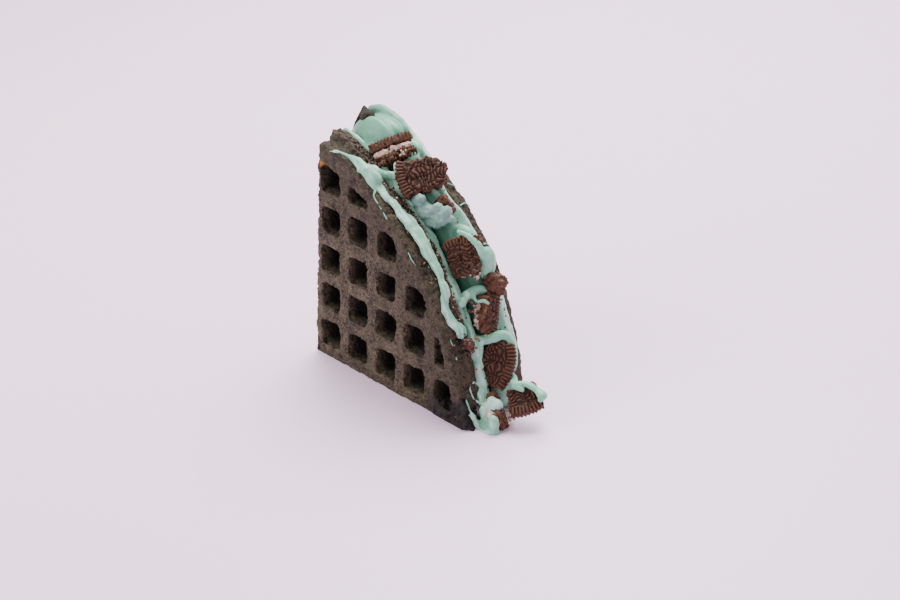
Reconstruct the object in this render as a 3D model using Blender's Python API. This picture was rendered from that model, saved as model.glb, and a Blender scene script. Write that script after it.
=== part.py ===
"""A quarter of a round dark chocolate waffle sandwich, standing on one of its two cut edges.

Two quarter plates of waffle lean back together. Mint cream fills the gap between them, laps over the
inner half of each curved rim and holds broken pieces of chocolate sandwich cookie.

Everything is modelled in a leaning frame, whose origin is the cut corner at the foot of the front
face: X runs along the foot, Y through the thickness from front to back and Z up the face. An empty
leans that frame back, and a second empty sets the whole on its bottom centre.
"""
import math
import random

import bmesh
import bpy
from mathutils import Matrix, Vector, noise

MM = 0.001

# Driving dimensions of the waffle
PITCH = 17.5 * MM
POCKET_WIDE = 0.65 * PITCH
POCKET_DEEP = 9.5 * MM
FIRST_POCKET = (0.52 * PITCH, 0.62 * PITCH)
PLATE_THICK = 15.0 * MM
GAP = 6.0 * MM
RIM_RADIUS = 104.0 * MM
RIM_RIB = 5.5 * MM
FRONT_CENTRE = (-13.0 * MM, -10.0 * MM)
BACK_CENTRE = (-14.0 * MM, -3.5 * MM)
LEAN = math.radians(6.5)
TOTAL_THICK = 2 * PLATE_THICK + GAP

# Driving dimensions of the cookie
COOKIE_RADIUS = 22.25 * MM
WAFER_THICK = 4.0 * MM
FILLING_THICK = 3.0 * MM
FILLING_INSET = 1.6 * MM
TOOTH_COUNT = 90
TOOTH_DEEP = 0.7 * MM

# Clearance kept between pieces that touch
FIT = 0.3 * MM

RIM_STEPS = 120
POCKET_LEAST = 0.12
GROUND_SIZE = 0.5
WELD = 0.0001 * MM


def clear_scene():
    for old in list(bpy.data.objects):
        bpy.data.objects.remove(old, do_unlink=True)


def new_collection(name, inside=None):
    made = bpy.data.collections.new(name)
    (inside or bpy.context.scene.collection).children.link(made)
    return made


def new_material(name, colour, roughness):
    made = bpy.data.materials.new(name)
    made.use_nodes = True
    shader = made.node_tree.nodes["Principled BSDF"]
    shader.inputs["Base Color"].default_value = (*colour, 1.0)
    shader.inputs["Roughness"].default_value = roughness
    shader.inputs["Metallic"].default_value = 0.0
    return made


def new_object(name, bm, collection, parent, material, cutter=False):
    mesh = bpy.data.meshes.new(name)
    bm.normal_update()
    bm.to_mesh(mesh)
    bm.free()
    made = bpy.data.objects.new(name, mesh)
    collection.objects.link(made)
    made.parent = parent
    mesh.materials.append(material)
    if cutter:
        made.hide_render = True
        made.display_type = "WIRE"
    return made


def combine(target, operand, operation, solver="EXACT"):
    """One Boolean on target with an object or a collection, applied to its mesh."""
    step = target.modifiers.new(operation.lower(), "BOOLEAN")
    step.operation = operation
    step.solver = solver
    if isinstance(operand, bpy.types.Collection):
        step.operand_type = "COLLECTION"
        step.collection = operand
    else:
        step.object = operand
    bpy.context.view_layer.update()
    seen = target.evaluated_get(bpy.context.evaluated_depsgraph_get())
    mesh = bpy.data.meshes.new_from_object(seen)
    target.modifiers.clear()
    old = target.data
    target.data = mesh
    bpy.data.meshes.remove(old)
    mesh.name = target.name


def keep_largest_body(target):
    """Drop the scraps that a cut leaves loose."""
    bm = bmesh.new()
    bm.from_mesh(target.data)
    bmesh.ops.remove_doubles(bm, verts=bm.verts[:], dist=WELD)
    left = set(bm.verts)
    bodies = []
    while left:
        body = set()
        front = [left.pop()]
        while front:
            vert = front.pop()
            body.add(vert)
            for edge in vert.link_edges:
                other = edge.other_vert(vert)
                if other in left:
                    left.remove(other)
                    front.append(other)
        bodies.append(body)
    bodies.sort(key=len, reverse=True)
    for scrap in bodies[1:]:
        bmesh.ops.delete(bm, geom=list(scrap), context="VERTS")
    bm.to_mesh(target.data)
    bm.free()


# Waffle plates, each modelled with its outer face at Y = 0 and its thickness towards +Y

def turned_disc(profile, centre):
    """A closed disc turned about Y from (radius, y) points that begin and end on the axis."""
    bm = bmesh.new()
    verts = [bm.verts.new((radius, y, 0.0)) for radius, y in profile]
    edges = [bm.edges.new(pair) for pair in zip(verts, verts[1:])]
    bmesh.ops.spin(bm, geom=verts + edges, cent=(0, 0, 0), axis=(0, 1, 0), angle=math.tau,
                   steps=RIM_STEPS, use_merge=True, use_duplicate=False)
    bmesh.ops.remove_doubles(bm, verts=bm.verts[:], dist=0.001 * MM)
    bmesh.ops.recalc_face_normals(bm, faces=bm.faces[:])
    bm.transform(Matrix.Translation((centre[0], 0.0, centre[1])))
    return bm


def plate_profile(grow):
    """Rim section: both halves taper from a proud seam, where the two irons met."""
    rim = [(-1.8, 0.0), (-0.5, 1.0), (0.2, 5.4), (1.6, 6.4), (1.5, 7.4), (0.2, 8.4), (-1.0, 12.0), (-2.2, 15.0)]
    points = [(0.0, -grow)]
    for out, y in rim:
        side = {0.0: -grow, 15.0: grow}.get(y, 0.0)
        points.append((RIM_RADIUS + out * MM + grow, y * MM + side))
    points.append((0.0, PLATE_THICK + grow))
    return points


def roughen_rim(bm, centre, seed, lumps):
    """Uneven craggy rim, swollen or torn round the direction that each lump names."""
    for vert in bm.verts:
        arm = Vector((vert.co.x - centre[0], 0.0, vert.co.z - centre[1]))
        if arm.length < RIM_RADIUS - 8 * MM:
            continue
        around = arm.normalized() * RIM_RADIUS + Vector((0.0, vert.co.y, 0.0))
        spot = around / (7 * MM) + Vector((seed, 0.0, 0.0))
        fine = around / (2.6 * MM) + Vector((0.0, seed, 0.0))
        change = 0.9 * MM * noise.noise(spot) + 0.45 * MM * noise.noise(fine)
        inward = min(max((vert.co.y - 5.0 * MM) / (3.4 * MM), 0.0), 1.0)
        for lump in lumps:
            off = (math.degrees(math.atan2(arm.z, arm.x)) - lump["toward"]) / lump["spread"]
            rise = lump["outer"] + (lump["inner"] - lump["outer"]) * inward
            change += math.exp(-off * off) * rise
        vert.co += arm.normalized() * change
    bmesh.ops.triangulate(bm, faces=bm.faces[:], quad_method="FIXED")


def extrude_on(bm, face):
    """Extrude one face and return the new one; a lone first face stays as the foot of the solid."""
    lone = len(bm.faces) == 1
    grown = bmesh.ops.extrude_face_region(bm, geom=[face])
    if not lone:
        bmesh.ops.delete(bm, geom=[face], context="FACES_ONLY")
    return next(item for item in grown["geom"] if isinstance(item, bmesh.types.BMFace))


def cut_straight(bm, point, normal):
    """Keep the side that normal points to, and close the cut with one flat face."""
    everything = bm.verts[:] + bm.edges[:] + bm.faces[:]
    cut = bmesh.ops.bisect_plane(bm, geom=everything, plane_co=point, plane_no=normal, clear_inner=True)
    edges = [item for item in cut["geom_cut"] if isinstance(item, bmesh.types.BMEdge)]
    bmesh.ops.contextual_create(bm, geom=edges)


def side_cut(left):
    """The upright knife cut, which starts at left and drifts in by 2.2 mm over the height."""
    drift = math.atan2(2.2, 94.0)
    return Vector((left, 0.0, 0.0)), Vector((math.cos(drift), 0.0, -math.sin(drift)))


def floor_cut(height=0.0):
    """The level plane that the sandwich stands on, as seen from the leaning frame."""
    up = Vector((0.0, -math.sin(LEAN), math.cos(LEAN)))
    return up * height, up


def face_the_back(bm):
    """Turn a plate round for the back: its outer face goes to Y = TOTAL_THICK."""
    bm.transform(Matrix.Translation((0.0, TOTAL_THICK, 0.0)) @ Matrix.Scale(-1.0, 4, (0.0, 1.0, 0.0)))
    bmesh.ops.reverse_faces(bm, faces=bm.faces[:])


def pocket(column, row, centre, shift, rng):
    """Cutter for one tapered pocket, its outer corner cut off where it meets the rim's rib."""
    middle = Vector((FIRST_POCKET[0] + column * PITCH + shift[0], 0.0,
                     FIRST_POCKET[1] + row * PITCH + shift[1]))
    middle += Vector((rng.uniform(-0.3, 0.3), 0.0, rng.uniform(-0.3, 0.3))) * MM
    half = POCKET_WIDE / 2 * rng.uniform(0.96, 1.03)
    bm = bmesh.new()
    corners = [(-half, -half), (-half, half), (half, half), (half, -half)]
    face = bm.faces.new([bm.verts.new(middle + Vector((x, 0.0, z))) for x, z in corners])
    full = face.calc_area()
    arm = middle - Vector((centre[0], 0.0, centre[1]))
    rib = arm.normalized() * (RIM_RADIUS - RIM_RIB) + Vector((centre[0], 0.0, centre[1]))
    everything = bm.verts[:] + bm.edges[:] + bm.faces[:]
    bmesh.ops.bisect_plane(bm, geom=everything, plane_co=rib, plane_no=arm.normalized(), clear_outer=True)
    if not bm.faces or sum(f.calc_area() for f in bm.faces) < POCKET_LEAST * full:
        bm.free()
        return None
    bmesh.ops.bevel(bm, geom=bm.verts[:], offset=2.0 * MM, offset_type="OFFSET", segments=2, profile=0.5,
                    affect="VERTICES", clamp_overlap=True, material=-1)
    spread = Matrix.Rotation(rng.uniform(-0.03, 0.03), 3, "Y")
    face = max(bm.faces, key=lambda f: f.calc_area())
    heart = face.calc_center_median()
    levels = [(-1.2 * MM, 1.04), (POCKET_DEEP - 1.8 * MM, 0.80), (POCKET_DEEP, 0.55)]
    for vert in face.verts:
        vert.co = heart + spread @ (vert.co - heart) * levels[0][1] + Vector((0.0, levels[0][0], 0.0))
    for (y0, size0), (y1, size1) in zip(levels, levels[1:]):
        face = extrude_on(bm, face)
        for vert in face.verts:
            flat = (vert.co - heart) * (size1 / size0)
            vert.co = heart + Vector((flat.x, y1, flat.z))
    bmesh.ops.recalc_face_normals(bm, faces=bm.faces[:])
    return bm


def pockets(centre, shift, seed):
    rng = random.Random(seed)
    joined = bmesh.new()
    for column in range(6):
        for row in range(6):
            one = pocket(column, row, centre, shift, rng)
            if one is None:
                continue
            mesh = bpy.data.meshes.new("pocket")
            one.to_mesh(mesh)
            one.free()
            joined.from_mesh(mesh)
            bpy.data.meshes.remove(mesh)
    return joined


def waffle_plate(name, spec, parent, kept, cutters, material):
    """A quarter plate with its pockets, and the whole uncut disc that keeps the cream clear of it."""
    body = turned_disc(plate_profile(0.0), spec["centre"])
    clear = turned_disc(plate_profile(FIT), spec["centre"])
    dents = pockets(spec["centre"], spec["shift"], spec["seed"])
    for bm in (body, clear):
        roughen_rim(bm, spec["centre"], spec["seed"], spec["lumps"])
    if spec["back"]:
        for bm in (body, clear, dents):
            face_the_back(bm)
    cut_straight(body, *side_cut(spec["left"]))
    cut_straight(body, *floor_cut())
    plate = new_object(name, body, kept, parent, material)
    clearance = new_object(name + "_clearance", clear, cutters, parent, material, cutter=True)
    dent = new_object(name + "_pockets", dents, cutters, parent, material, cutter=True)
    combine(plate, dent, "DIFFERENCE")
    keep_largest_body(plate)
    return clearance


# Cookie pieces, each modelled with its pressed face up, its rim towards -Y and its middle at the origin

def broken_outline(piece, radius, toothed):
    """Rim arc of the piece, with teeth on a wafer, then a jagged blunt break back to the start."""
    rng = random.Random(piece["seed"])
    span = math.radians(piece["span"])
    start = -math.pi / 2 - span / 2
    step = math.tau / TOOTH_COUNT / 2 if toothed else math.radians(8)
    count = max(3, round(span / step))
    points = []
    for k in range(count + 1):
        angle = start + span * k / count
        reach = radius - (TOOTH_DEEP if toothed and k % 2 else 0.0)
        points.append((reach * math.cos(angle), reach * math.sin(angle)))
    half = radius * math.sin(span / 2)
    foot = -radius * math.cos(span / 2)
    rise = piece["reach"] - (radius + foot)
    for k in range(1, piece["breaks"]):
        turn = math.pi * k / piece["breaks"]
        across = math.copysign(abs(math.cos(turn)) ** 0.6, math.cos(turn))
        ragged = rng.uniform(0.86, 1.06)
        points.append((half * across * ragged, foot + rise * math.sin(turn) ** 0.6 * ragged))
    middle = radius - piece["reach"] / 2
    return [(x, y + middle) for x, y in points]


def slab(outline, levels, rng, ragged):
    """Stack copies of an outline at (height, inset) levels; ragged points wander level by level."""
    bm = bmesh.new()
    face = bm.faces.new([bm.verts.new((x, y, 0.0)) for x, y in outline])
    for level, (height, inset) in enumerate(levels):
        if level:
            face = extrude_on(bm, face)
        for vert, (x, y) in zip(face.verts, outline):
            scale = 1.0 - inset / max(math.hypot(x, y), 4 * MM)
            wander = ragged if y > outline[0][1] else 0.0
            vert.co = (x * scale + rng.uniform(-wander, wander), y * scale + rng.uniform(-wander, wander), height)
    bmesh.ops.recalc_face_normals(bm, faces=bm.faces[:])
    bmesh.ops.triangulate(bm, faces=bm.faces[:], quad_method="FIXED")
    return bm


def wafer(piece, flipped):
    outline = broken_outline(piece, COOKIE_RADIUS, True)
    levels = [(0.0, 0.5 * MM), (0.7 * MM, 0.0), (2.7 * MM, 0.0), (WAFER_THICK, 1.1 * MM)]
    rng = random.Random(piece["seed"] + 1)
    bm = slab(outline, levels, rng, 0.25 * MM)
    if flipped:
        bm.transform(Matrix.Rotation(math.pi, 4, "Y"))
        bm.transform(Matrix.Translation((0.0, 0.0, -FILLING_THICK)))
    return bm


def filling(piece):
    thinner = dict(piece, breaks=max(5, piece["breaks"] - 2), reach=piece["reach"] - 1.5 * MM)
    outline = broken_outline(thinner, COOKIE_RADIUS - FILLING_INSET, False)
    levels = [(FIT - FILLING_THICK, 0.4 * MM), (-1.5 * MM, 0.0), (-FIT, 0.4 * MM)]
    return slab(outline, levels, random.Random(piece["seed"] + 2), 0.3 * MM)


def crumb(piece):
    """A rough lump: a ball whose surface wanders in and out."""
    bm = bmesh.new()
    bmesh.ops.create_icosphere(bm, subdivisions=2, radius=1.0)
    for vert in bm.verts:
        swell = 1.0 + 0.30 * noise.noise(vert.co * 1.7 + Vector((piece["seed"], 0.0, 0.0)))
        vert.co = Vector(vert.co * swell) * Vector(piece["radii"])
    return bm


def placement(piece):
    """Put the piece's middle at its place, its top facing its way and its rim turned by spin."""
    facing = Vector(piece["facing"]).to_track_quat("Z", "Y").to_matrix().to_4x4()
    spin = Matrix.Rotation(math.radians(piece["spin"]), 4, "Z")
    return Matrix.Translation(Vector(piece["at"]) * MM) @ facing @ spin


def hull_cutter(name, source, parent, cutters, material):
    """A convex skin a little outside the piece, which presses its bed into the cream."""
    bm = bmesh.new()
    bm.from_mesh(source.data)
    wrap(bm)
    bm.normal_update()
    moved = [(vert, vert.normal * vert.calc_shell_factor() * 1.6 * FIT) for vert in bm.verts]
    for vert, step in moved:
        vert.co += step
    made = new_object(name, bm, cutters, parent, material, cutter=True)
    made.matrix_basis = source.matrix_basis
    return made


# Mint cream

def cream_blank():
    """Layer and both laps in one turned ring: high over each plate's rim, with a furrow between them."""
    section = [(-0.7, 7.0), (2.4, 8.2), (1.6, 10.4), (2.2, 12.6), (1.5, 14.8), (-2.5, 15.9), (-8.0, 16.6),
               (-12.0, 17.4), (-12.0, 18.6), (-8.0, 19.4), (-2.5, 20.1), (1.3, 21.4), (2.0, 23.6), (1.6, 26.2),
               (-0.8, 29.0)]
    profile = [(0.0, section[0][1] * MM)]
    profile += [(RIM_RADIUS + out * MM, y * MM) for out, y in section]
    profile.append((0.0, section[-1][1] * MM))
    bm = turned_disc(profile, FRONT_CENTRE)
    slide = Vector((BACK_CENTRE[0] - FRONT_CENTRE[0], 0.0, BACK_CENTRE[1] - FRONT_CENTRE[1]))
    for vert in bm.verts:
        arm = Vector((vert.co.x - FRONT_CENTRE[0], 0.0, vert.co.z - FRONT_CENTRE[1]))
        t = min(max((vert.co.y - PLATE_THICK) / GAP, 0.0), 1.0)
        if arm.length > RIM_RADIUS - 20 * MM:
            turn = math.degrees(math.atan2(arm.z, arm.x))
            change = 1.3 * MM * noise.noise(vert.co / (11 * MM)) + 0.5 * MM * noise.noise(vert.co / (4.5 * MM))
            for toward, spread, rise in CREAM_SWELLS:
                off = (turn - toward) / spread
                change += rise * MM * math.exp(-off * off)
            vert.co += arm.normalized() * change
        vert.co += slide * (t * t * (3 - 2 * t))
    bmesh.ops.triangulate(bm, faces=bm.faces[:], quad_method="FIXED")
    cut_straight(bm, *side_cut(CREAM_LEFT))
    return bm


def wrap(bm):
    """Replace a shape by its convex hull."""
    bmesh.ops.delete(bm, geom=bm.edges[:], context="EDGES_FACES")
    bmesh.ops.convex_hull(bm, input=bm.verts[:])
    bmesh.ops.delete(bm, geom=[vert for vert in bm.verts if not vert.link_faces], context="VERTS")
    bmesh.ops.recalc_face_normals(bm, faces=bm.faces[:])


def ball(at, radii):
    bm = bmesh.new()
    bmesh.ops.create_icosphere(bm, subdivisions=2, radius=1.0)
    bm.transform(Matrix.Translation(Vector(at) * MM) @ Matrix.Diagonal((*(Vector(radii) * MM), 1.0)))
    return bm


def drip(start, end, squash=1.0):
    """A tapered dribble between two (x, y, z, radius) ends, flattened through the thickness."""
    bm = bmesh.new()
    for x, y, z, radius in (start, end):
        ends = bmesh.ops.create_icosphere(bm, subdivisions=1, radius=radius * MM)
        for vert in ends["verts"]:
            vert.co.y *= squash
            vert.co += Vector((x, y, z)) * MM
    wrap(bm)
    return bm


def mint_cream(parent, kept, cutters, material, clearances, beds):
    """The layer with its blobs and dribbles, cut clear of the plates, the cookie pieces and the floor."""
    cream = new_object("mint_cream", cream_blank(), kept, parent, material)
    lumps = new_collection("cream_lumps", cutters)
    for k, (at, radii) in enumerate(CREAM_BALLS):
        new_object(f"cream_ball_{k}", ball(at, radii), lumps, parent, material, cutter=True)
    for k, path in enumerate(CREAM_DRIPS):
        for j, (start, end) in enumerate(zip(path["points"], path["points"][1:])):
            new_object(f"cream_drip_{k}_{j}", drip(start, end, path["squash"]), lumps, parent, material, cutter=True)
    combine(cream, lumps, "UNION", "MANIFOLD")
    for clearance in clearances:
        combine(cream, clearance, "DIFFERENCE", "MANIFOLD")
    combine(cream, beds, "DIFFERENCE", "MANIFOLD")
    keep_largest_body(cream)


CREAM_LEFT = 1.5 * MM

# Where the cream stands higher along the curved edge: degrees round the rim, spread, extra millimetres
CREAM_SWELLS = [(84.0, 12.0, 6.0), (46.0, 7.0, -0.6), (12.0, 9.0, 1.0)]

# Blobs of cream in the leaning frame: centre and half sizes in millimetres
CREAM_BALLS = [
    ((9.0, 22.5, 92.0), (12.0, 4.8, 13.5)),
    ((49.5, 17.0, 77.0), (7.0, 4.5, 6.0)),
    ((63.0, 23.5, 64.5), (8.0, 4.5, 9.0)),
    ((88.0, 24.5, 27.0), (5.0, 4.5, 8.0)),
    ((91.5, 12.0, 5.5), (4.5, 6.0, 6.0)),
    ((94.0, 22.0, 12.0), (6.0, 3.5, 9.0)),
]

# Dribbles: runs of (x, y, z, radius) in millimetres, and how flat they lie
CREAM_DRIPS = [
    {"squash": 0.8, "points": [(11.0, 0.4, 93.8, 0.9), (19.5, 0.6, 94.6, 1.4), (29.5, 0.8, 91.0, 2.2)]},
    {"squash": 0.8, "points": [(29.5, 0.8, 91.0, 2.4), (36.0, 0.2, 86.5, 1.2)]},
    {"squash": 1.0, "points": [(29.5, 0.8, 91.0, 2.4), (31.0, 8.0, 91.5, 3.0)]},
    {"squash": 1.0, "points": [(74.5, 13.0, 47.0, 2.4), (77.5, 19.0, 48.5, 2.0), (80.0, 24.5, 46.0, 1.8)]},
    {"squash": 1.0, "points": [(84.5, 11.0, 31.5, 2.2), (86.0, 19.5, 32.0, 2.2), (88.5, 27.0, 28.0, 2.4)]},
    {"squash": 1.0, "points": [(84.5, 11.0, 31.5, 2.2), (88.5, 9.5, 20.0, 2.2), (91.0, 10.0, 8.0, 2.6)]},
    {"squash": 0.7, "points": [(94.0, 24.5, 13.5, 3.0), (101.0, 24.0, 16.5, 2.4), (109.0, 22.5, 14.5, 2.0)]},
    {"squash": 1.0, "points": [(91.5, 8.0, 10.0, 1.6), (92.5, 2.5, 4.5, 2.0)]},
]

# Pieces of cookie in the leaning frame. Places and radii are in millimetres, span and spin in degrees,
# reach is how far the piece runs in from its rim. Facing is the way that the pressed face looks.
COOKIE_PIECES = [
    {"name": "cookie_a", "at": (23.1, 21.2, 93.6), "facing": (-0.69, 0.16, 0.70), "spin": 151, "span": 48,
     "reach": 12.0 * MM, "breaks": 9, "seed": 3, "layers": ("top", "filling", "bottom")},
    {"name": "cookie_b", "at": (42.0, 20.5, 87.5), "facing": (0.60, -0.48, 0.64), "spin": -75, "span": 42,
     "reach": 22.0 * MM, "breaks": 10, "seed": 7, "layers": ("top",)},
    {"name": "cookie_d", "at": (69.5, 19.5, 62.5), "facing": (0.42, -0.84, 0.34), "spin": 200, "span": 40,
     "reach": 17.0 * MM, "breaks": 9, "seed": 11, "layers": ("top", "filling")},
    {"name": "cookie_f", "at": (80.8, 20.2, 41.6), "facing": (0.93, 0.25, 0.25), "spin": 60, "span": 44,
     "reach": 11.0 * MM, "breaks": 9, "seed": 15, "layers": ("top", "filling")},
    {"name": "cookie_g", "at": (90.0, 19.5, 22.5), "facing": (0.50, -0.78, 0.38), "spin": 82, "span": 52,
     "reach": 14.5 * MM, "breaks": 9, "seed": 19, "layers": ("top", "filling")},
    {"name": "cookie_h", "at": (96.5, 11.0, 7.0), "facing": (0.55, 0.70, 0.40), "spin": 30, "span": 40,
     "reach": 9.0 * MM, "breaks": 8, "seed": 23, "layers": ("top", "filling")},
    {"name": "cookie_i", "at": (104.0, 20.6, 11.2), "facing": (0.42, -0.55, 0.72), "spin": 24, "span": 38,
     "reach": 13.0 * MM, "breaks": 9, "seed": 27, "layers": ("top",)},
]

# Rough crumbs without a pressed face: centre and half sizes in millimetres
COOKIE_CRUMBS = [
    {"name": "cookie_c_crumb", "at": (54.0, 22.5, 79.0), "radii": (4.6 * MM, 3.6 * MM, 4.4 * MM), "seed": 31},
    {"name": "cookie_e_crumb", "at": (81.4, 27.6, 53.6), "radii": (6.2 * MM, 4.0 * MM, 4.2 * MM), "seed": 35},
    {"name": "cookie_j_crumb", "at": (85.0, 8.0, 33.5), "radii": (2.6 * MM, 1.9 * MM, 3.0 * MM), "seed": 39},
]


def cookie_pieces(parent, kept, wafer_look, filling_look, clearances):
    """All the pieces, with whatever would run into a plate or the floor taken off them."""
    made = []
    for piece in COOKIE_PIECES:
        for layer in piece["layers"]:
            if layer == "filling":
                bm, look, ending = filling(piece), filling_look, "_filling"
            else:
                bm, look, ending = wafer(piece, layer == "bottom"), wafer_look, "_" + layer + "_wafer"
            one = new_object(piece["name"] + ending, bm, kept, parent, look)
            one.matrix_basis = placement(piece)
            made.append(one)
    for piece in COOKIE_CRUMBS:
        one = new_object(piece["name"], crumb(piece), kept, parent, wafer_look)
        one.matrix_basis = Matrix.Translation(Vector(piece["at"]) * MM)
        made.append(one)
    for one in made:
        for clearance in clearances:
            combine(one, clearance, "DIFFERENCE", "MANIFOLD")
        keep_largest_body(one)
    return made


def ground_block(cutters, stand, material):
    """Everything below the level that the sandwich stands on."""
    bm = bmesh.new()
    bmesh.ops.create_cube(bm, size=GROUND_SIZE)
    bm.transform(Matrix.Translation((0.0, 0.0, -GROUND_SIZE / 2)))
    return new_object("ground", bm, cutters, stand, material, cutter=True)


def box_of(collection):
    bpy.context.view_layer.update()
    seen = bpy.context.evaluated_depsgraph_get()
    points = []
    for item in collection.objects:
        if item.type == "MESH":
            mesh = item.evaluated_get(seen).data
            points += [item.matrix_world @ vert.co for vert in mesh.vertices]
    low = Vector(min(p[k] for p in points) for k in range(3))
    high = Vector(max(p[k] for p in points) for k in range(3))
    return low, high


def main():
    clear_scene()
    kept = new_collection("belgian_waffle")
    cutters = new_collection("cutters")
    stand = bpy.data.objects.new("stand", None)
    lean = bpy.data.objects.new("lean", None)
    for empty in (stand, lean):
        kept.objects.link(empty)
    lean.parent = stand
    lean.rotation_euler = (-LEAN, 0.0, 0.0)

    waffle_look = new_material("dark_waffle", (0.075, 0.058, 0.045), 0.75)
    cream_look = new_material("mint_cream", (0.42, 0.72, 0.60), 0.35)
    wafer_look = new_material("cookie_wafer", (0.085, 0.032, 0.020), 0.7)
    filling_look = new_material("cookie_filling", (0.78, 0.68, 0.58), 0.6)

    front = {"centre": FRONT_CENTRE, "shift": (0.0, 0.0), "seed": 1.0, "left": 1.0 * MM, "back": False,
             "lumps": [{"toward": 75, "spread": 12, "outer": 3.4 * MM, "inner": 1.5 * MM},
                       {"toward": 85, "spread": 12, "outer": 0.0, "inner": 5.6 * MM},
                       {"toward": 6, "spread": 9, "outer": 2.6 * MM, "inner": 1.6 * MM}]}
    back = {"centre": BACK_CENTRE, "shift": (-1.0 * MM, 6.5 * MM), "seed": 2.0, "left": -1.5 * MM, "back": True,
            "lumps": [{"toward": 86, "spread": 12, "outer": 0.0, "inner": 4.6 * MM}]}
    front_clear = waffle_plate("front_waffle", front, lean, kept, cutters, waffle_look)
    back_clear = waffle_plate("back_waffle", back, lean, kept, cutters, waffle_look)
    clearances = [front_clear, back_clear, ground_block(cutters, stand, waffle_look)]

    beds = new_collection("beds", cutters)
    for one in cookie_pieces(lean, kept, wafer_look, filling_look, clearances):
        hull_cutter(one.name + "_bed", one, lean, beds, cream_look)
    mint_cream(lean, kept, cutters, cream_look, clearances, beds)

    low, high = box_of(kept)
    stand.location = (-(low.x + high.x) / 2, -(low.y + high.y) / 2, -low.z)
    bpy.context.view_layer.update()


main()
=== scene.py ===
"""The looks of a quarter of a dark chocolate waffle sandwich with mint cream and broken cookies.

Shapes are worked out in the leaning frame of the sandwich, in millimetres: X runs along the foot of the
front face, Y through the thickness to the back, Z up the face, from the cut corner at the foot. Each
piece is turned into the row's frame, in metres, just before it becomes an object.
"""

import math
import random

import bmesh
import bpy
import numpy as np
from mathutils import Matrix, Vector, noise


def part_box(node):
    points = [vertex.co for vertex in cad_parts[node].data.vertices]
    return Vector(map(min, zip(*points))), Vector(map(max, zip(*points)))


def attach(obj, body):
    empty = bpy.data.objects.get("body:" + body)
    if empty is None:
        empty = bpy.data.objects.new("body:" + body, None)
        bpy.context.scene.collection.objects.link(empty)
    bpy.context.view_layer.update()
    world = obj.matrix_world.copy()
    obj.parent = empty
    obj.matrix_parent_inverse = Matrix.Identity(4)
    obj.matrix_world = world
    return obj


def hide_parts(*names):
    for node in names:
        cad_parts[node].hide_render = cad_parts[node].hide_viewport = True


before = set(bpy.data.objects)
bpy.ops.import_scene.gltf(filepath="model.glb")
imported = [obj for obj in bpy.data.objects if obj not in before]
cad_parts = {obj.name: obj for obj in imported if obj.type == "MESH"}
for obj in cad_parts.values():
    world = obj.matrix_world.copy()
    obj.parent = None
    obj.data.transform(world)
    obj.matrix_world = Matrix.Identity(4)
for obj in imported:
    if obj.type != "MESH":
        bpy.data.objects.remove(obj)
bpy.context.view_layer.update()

bl_info = {
    "name": "Waffle sandwich quarter",
    "version": (1, 0, 0),
    "blender": (4, 5, 0),
    "location": "View3D > Sidebar > Waffle",
    "description": "Builds the waffle, cream and cookie pieces of a waffle sandwich quarter",
    "category": "Object",
}

MM = 0.001
BODY = "root"
SIDE_LEFT = 1.0
SIDE_DRIFT = math.atan2(2.2, 94.0)
LEAN = math.radians(6.5)

FRONT_LOW, FRONT_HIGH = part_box("front_waffle")
CORNER = Vector((FRONT_LOW.x - SIDE_LEFT * MM, FRONT_LOW.y, 0.0))
TO_ROW = Matrix.Translation(CORNER) @ Matrix.Rotation(-LEAN, 4, "X") @ Matrix.Scale(MM, 4)

# Sizes of the waffle in millimetres
PITCH = 17.5
POCKET_WIDE = 0.65 * PITCH
FIRST_POCKET = (0.52 * PITCH, 0.62 * PITCH)
PLATE_THICK = 15.0
GAP = 6.0
TOTAL_THICK = 2 * PLATE_THICK + GAP
RIM_RADIUS = 104.0
RIM_RIB = 5.5
FRONT_CENTRE = (-13.0, -10.0)
BACK_CENTRE = (-14.0, -3.5)
RIM_STEPS = 300
POCKET_CORNER = 2.2
POCKET_LEAST = 0.12
POCKET_COUNT = 6

# Sizes of the cookie in millimetres
COOKIE_RADIUS = 22.25
WAFER_THICK = 4.0
FILLING_THICK = 3.0
FILLING_INSET = 1.6
TOOTH_COUNT = 90
TOOTH_DEEP = 0.8
BAR_PITCH = 1.5
BAR_LONG = 2.7
BAR_WARP = 2.3
BAR_WARP_WIDE = 3.8
RIM_BARS_FROM = 18.6

# Camera: place from the cut corner in metres, turns in degrees, and the way to it in the leaning frame
CAMERA_AT = Vector((0.4547, -0.3257, 0.3383))
CAMERA_ROUND, CAMERA_DOWN, CAMERA_ROLL = 48.38, 29.72, -3.46
TO_CAMERA = Vector((0.649, -0.629, 0.427))
LIGHT_AIM = Vector((0.0, 0.0, 0.04))
FLOOR_HALF = 3.0
ROOM_COLOUR = (0.98, 0.955, 0.985, 1.0)


class WaffleSettings(bpy.types.PropertyGroup):
    voxel: bpy.props.FloatProperty(
        name="Detail", description="Grid size of the crumb, in metres", default=0.00056,
        min=0.0004, max=0.003, precision=5, subtype="DISTANCE", unit="LENGTH")
    pocket_deep: bpy.props.FloatProperty(
        name="Pocket depth", description="Depth of a pocket below the face", default=0.0095,
        min=0.002, max=0.012, precision=4, subtype="DISTANCE", unit="LENGTH")
    rib: bpy.props.FloatVectorProperty(
        name="Rib", description="Colour of the lighter crumb", default=(0.078, 0.061, 0.036),
        size=3, min=0.0, max=1.0, subtype="COLOR")
    crust: bpy.props.FloatVectorProperty(
        name="Crust", description="Colour of the darker crumb", default=(0.019, 0.0145, 0.0088),
        size=3, min=0.0, max=1.0, subtype="COLOR")
    toast: bpy.props.FloatVectorProperty(
        name="Toast", description="Colour of the toasted flecks", default=(0.27, 0.14, 0.062),
        size=3, min=0.0, max=1.0, subtype="COLOR")


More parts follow.
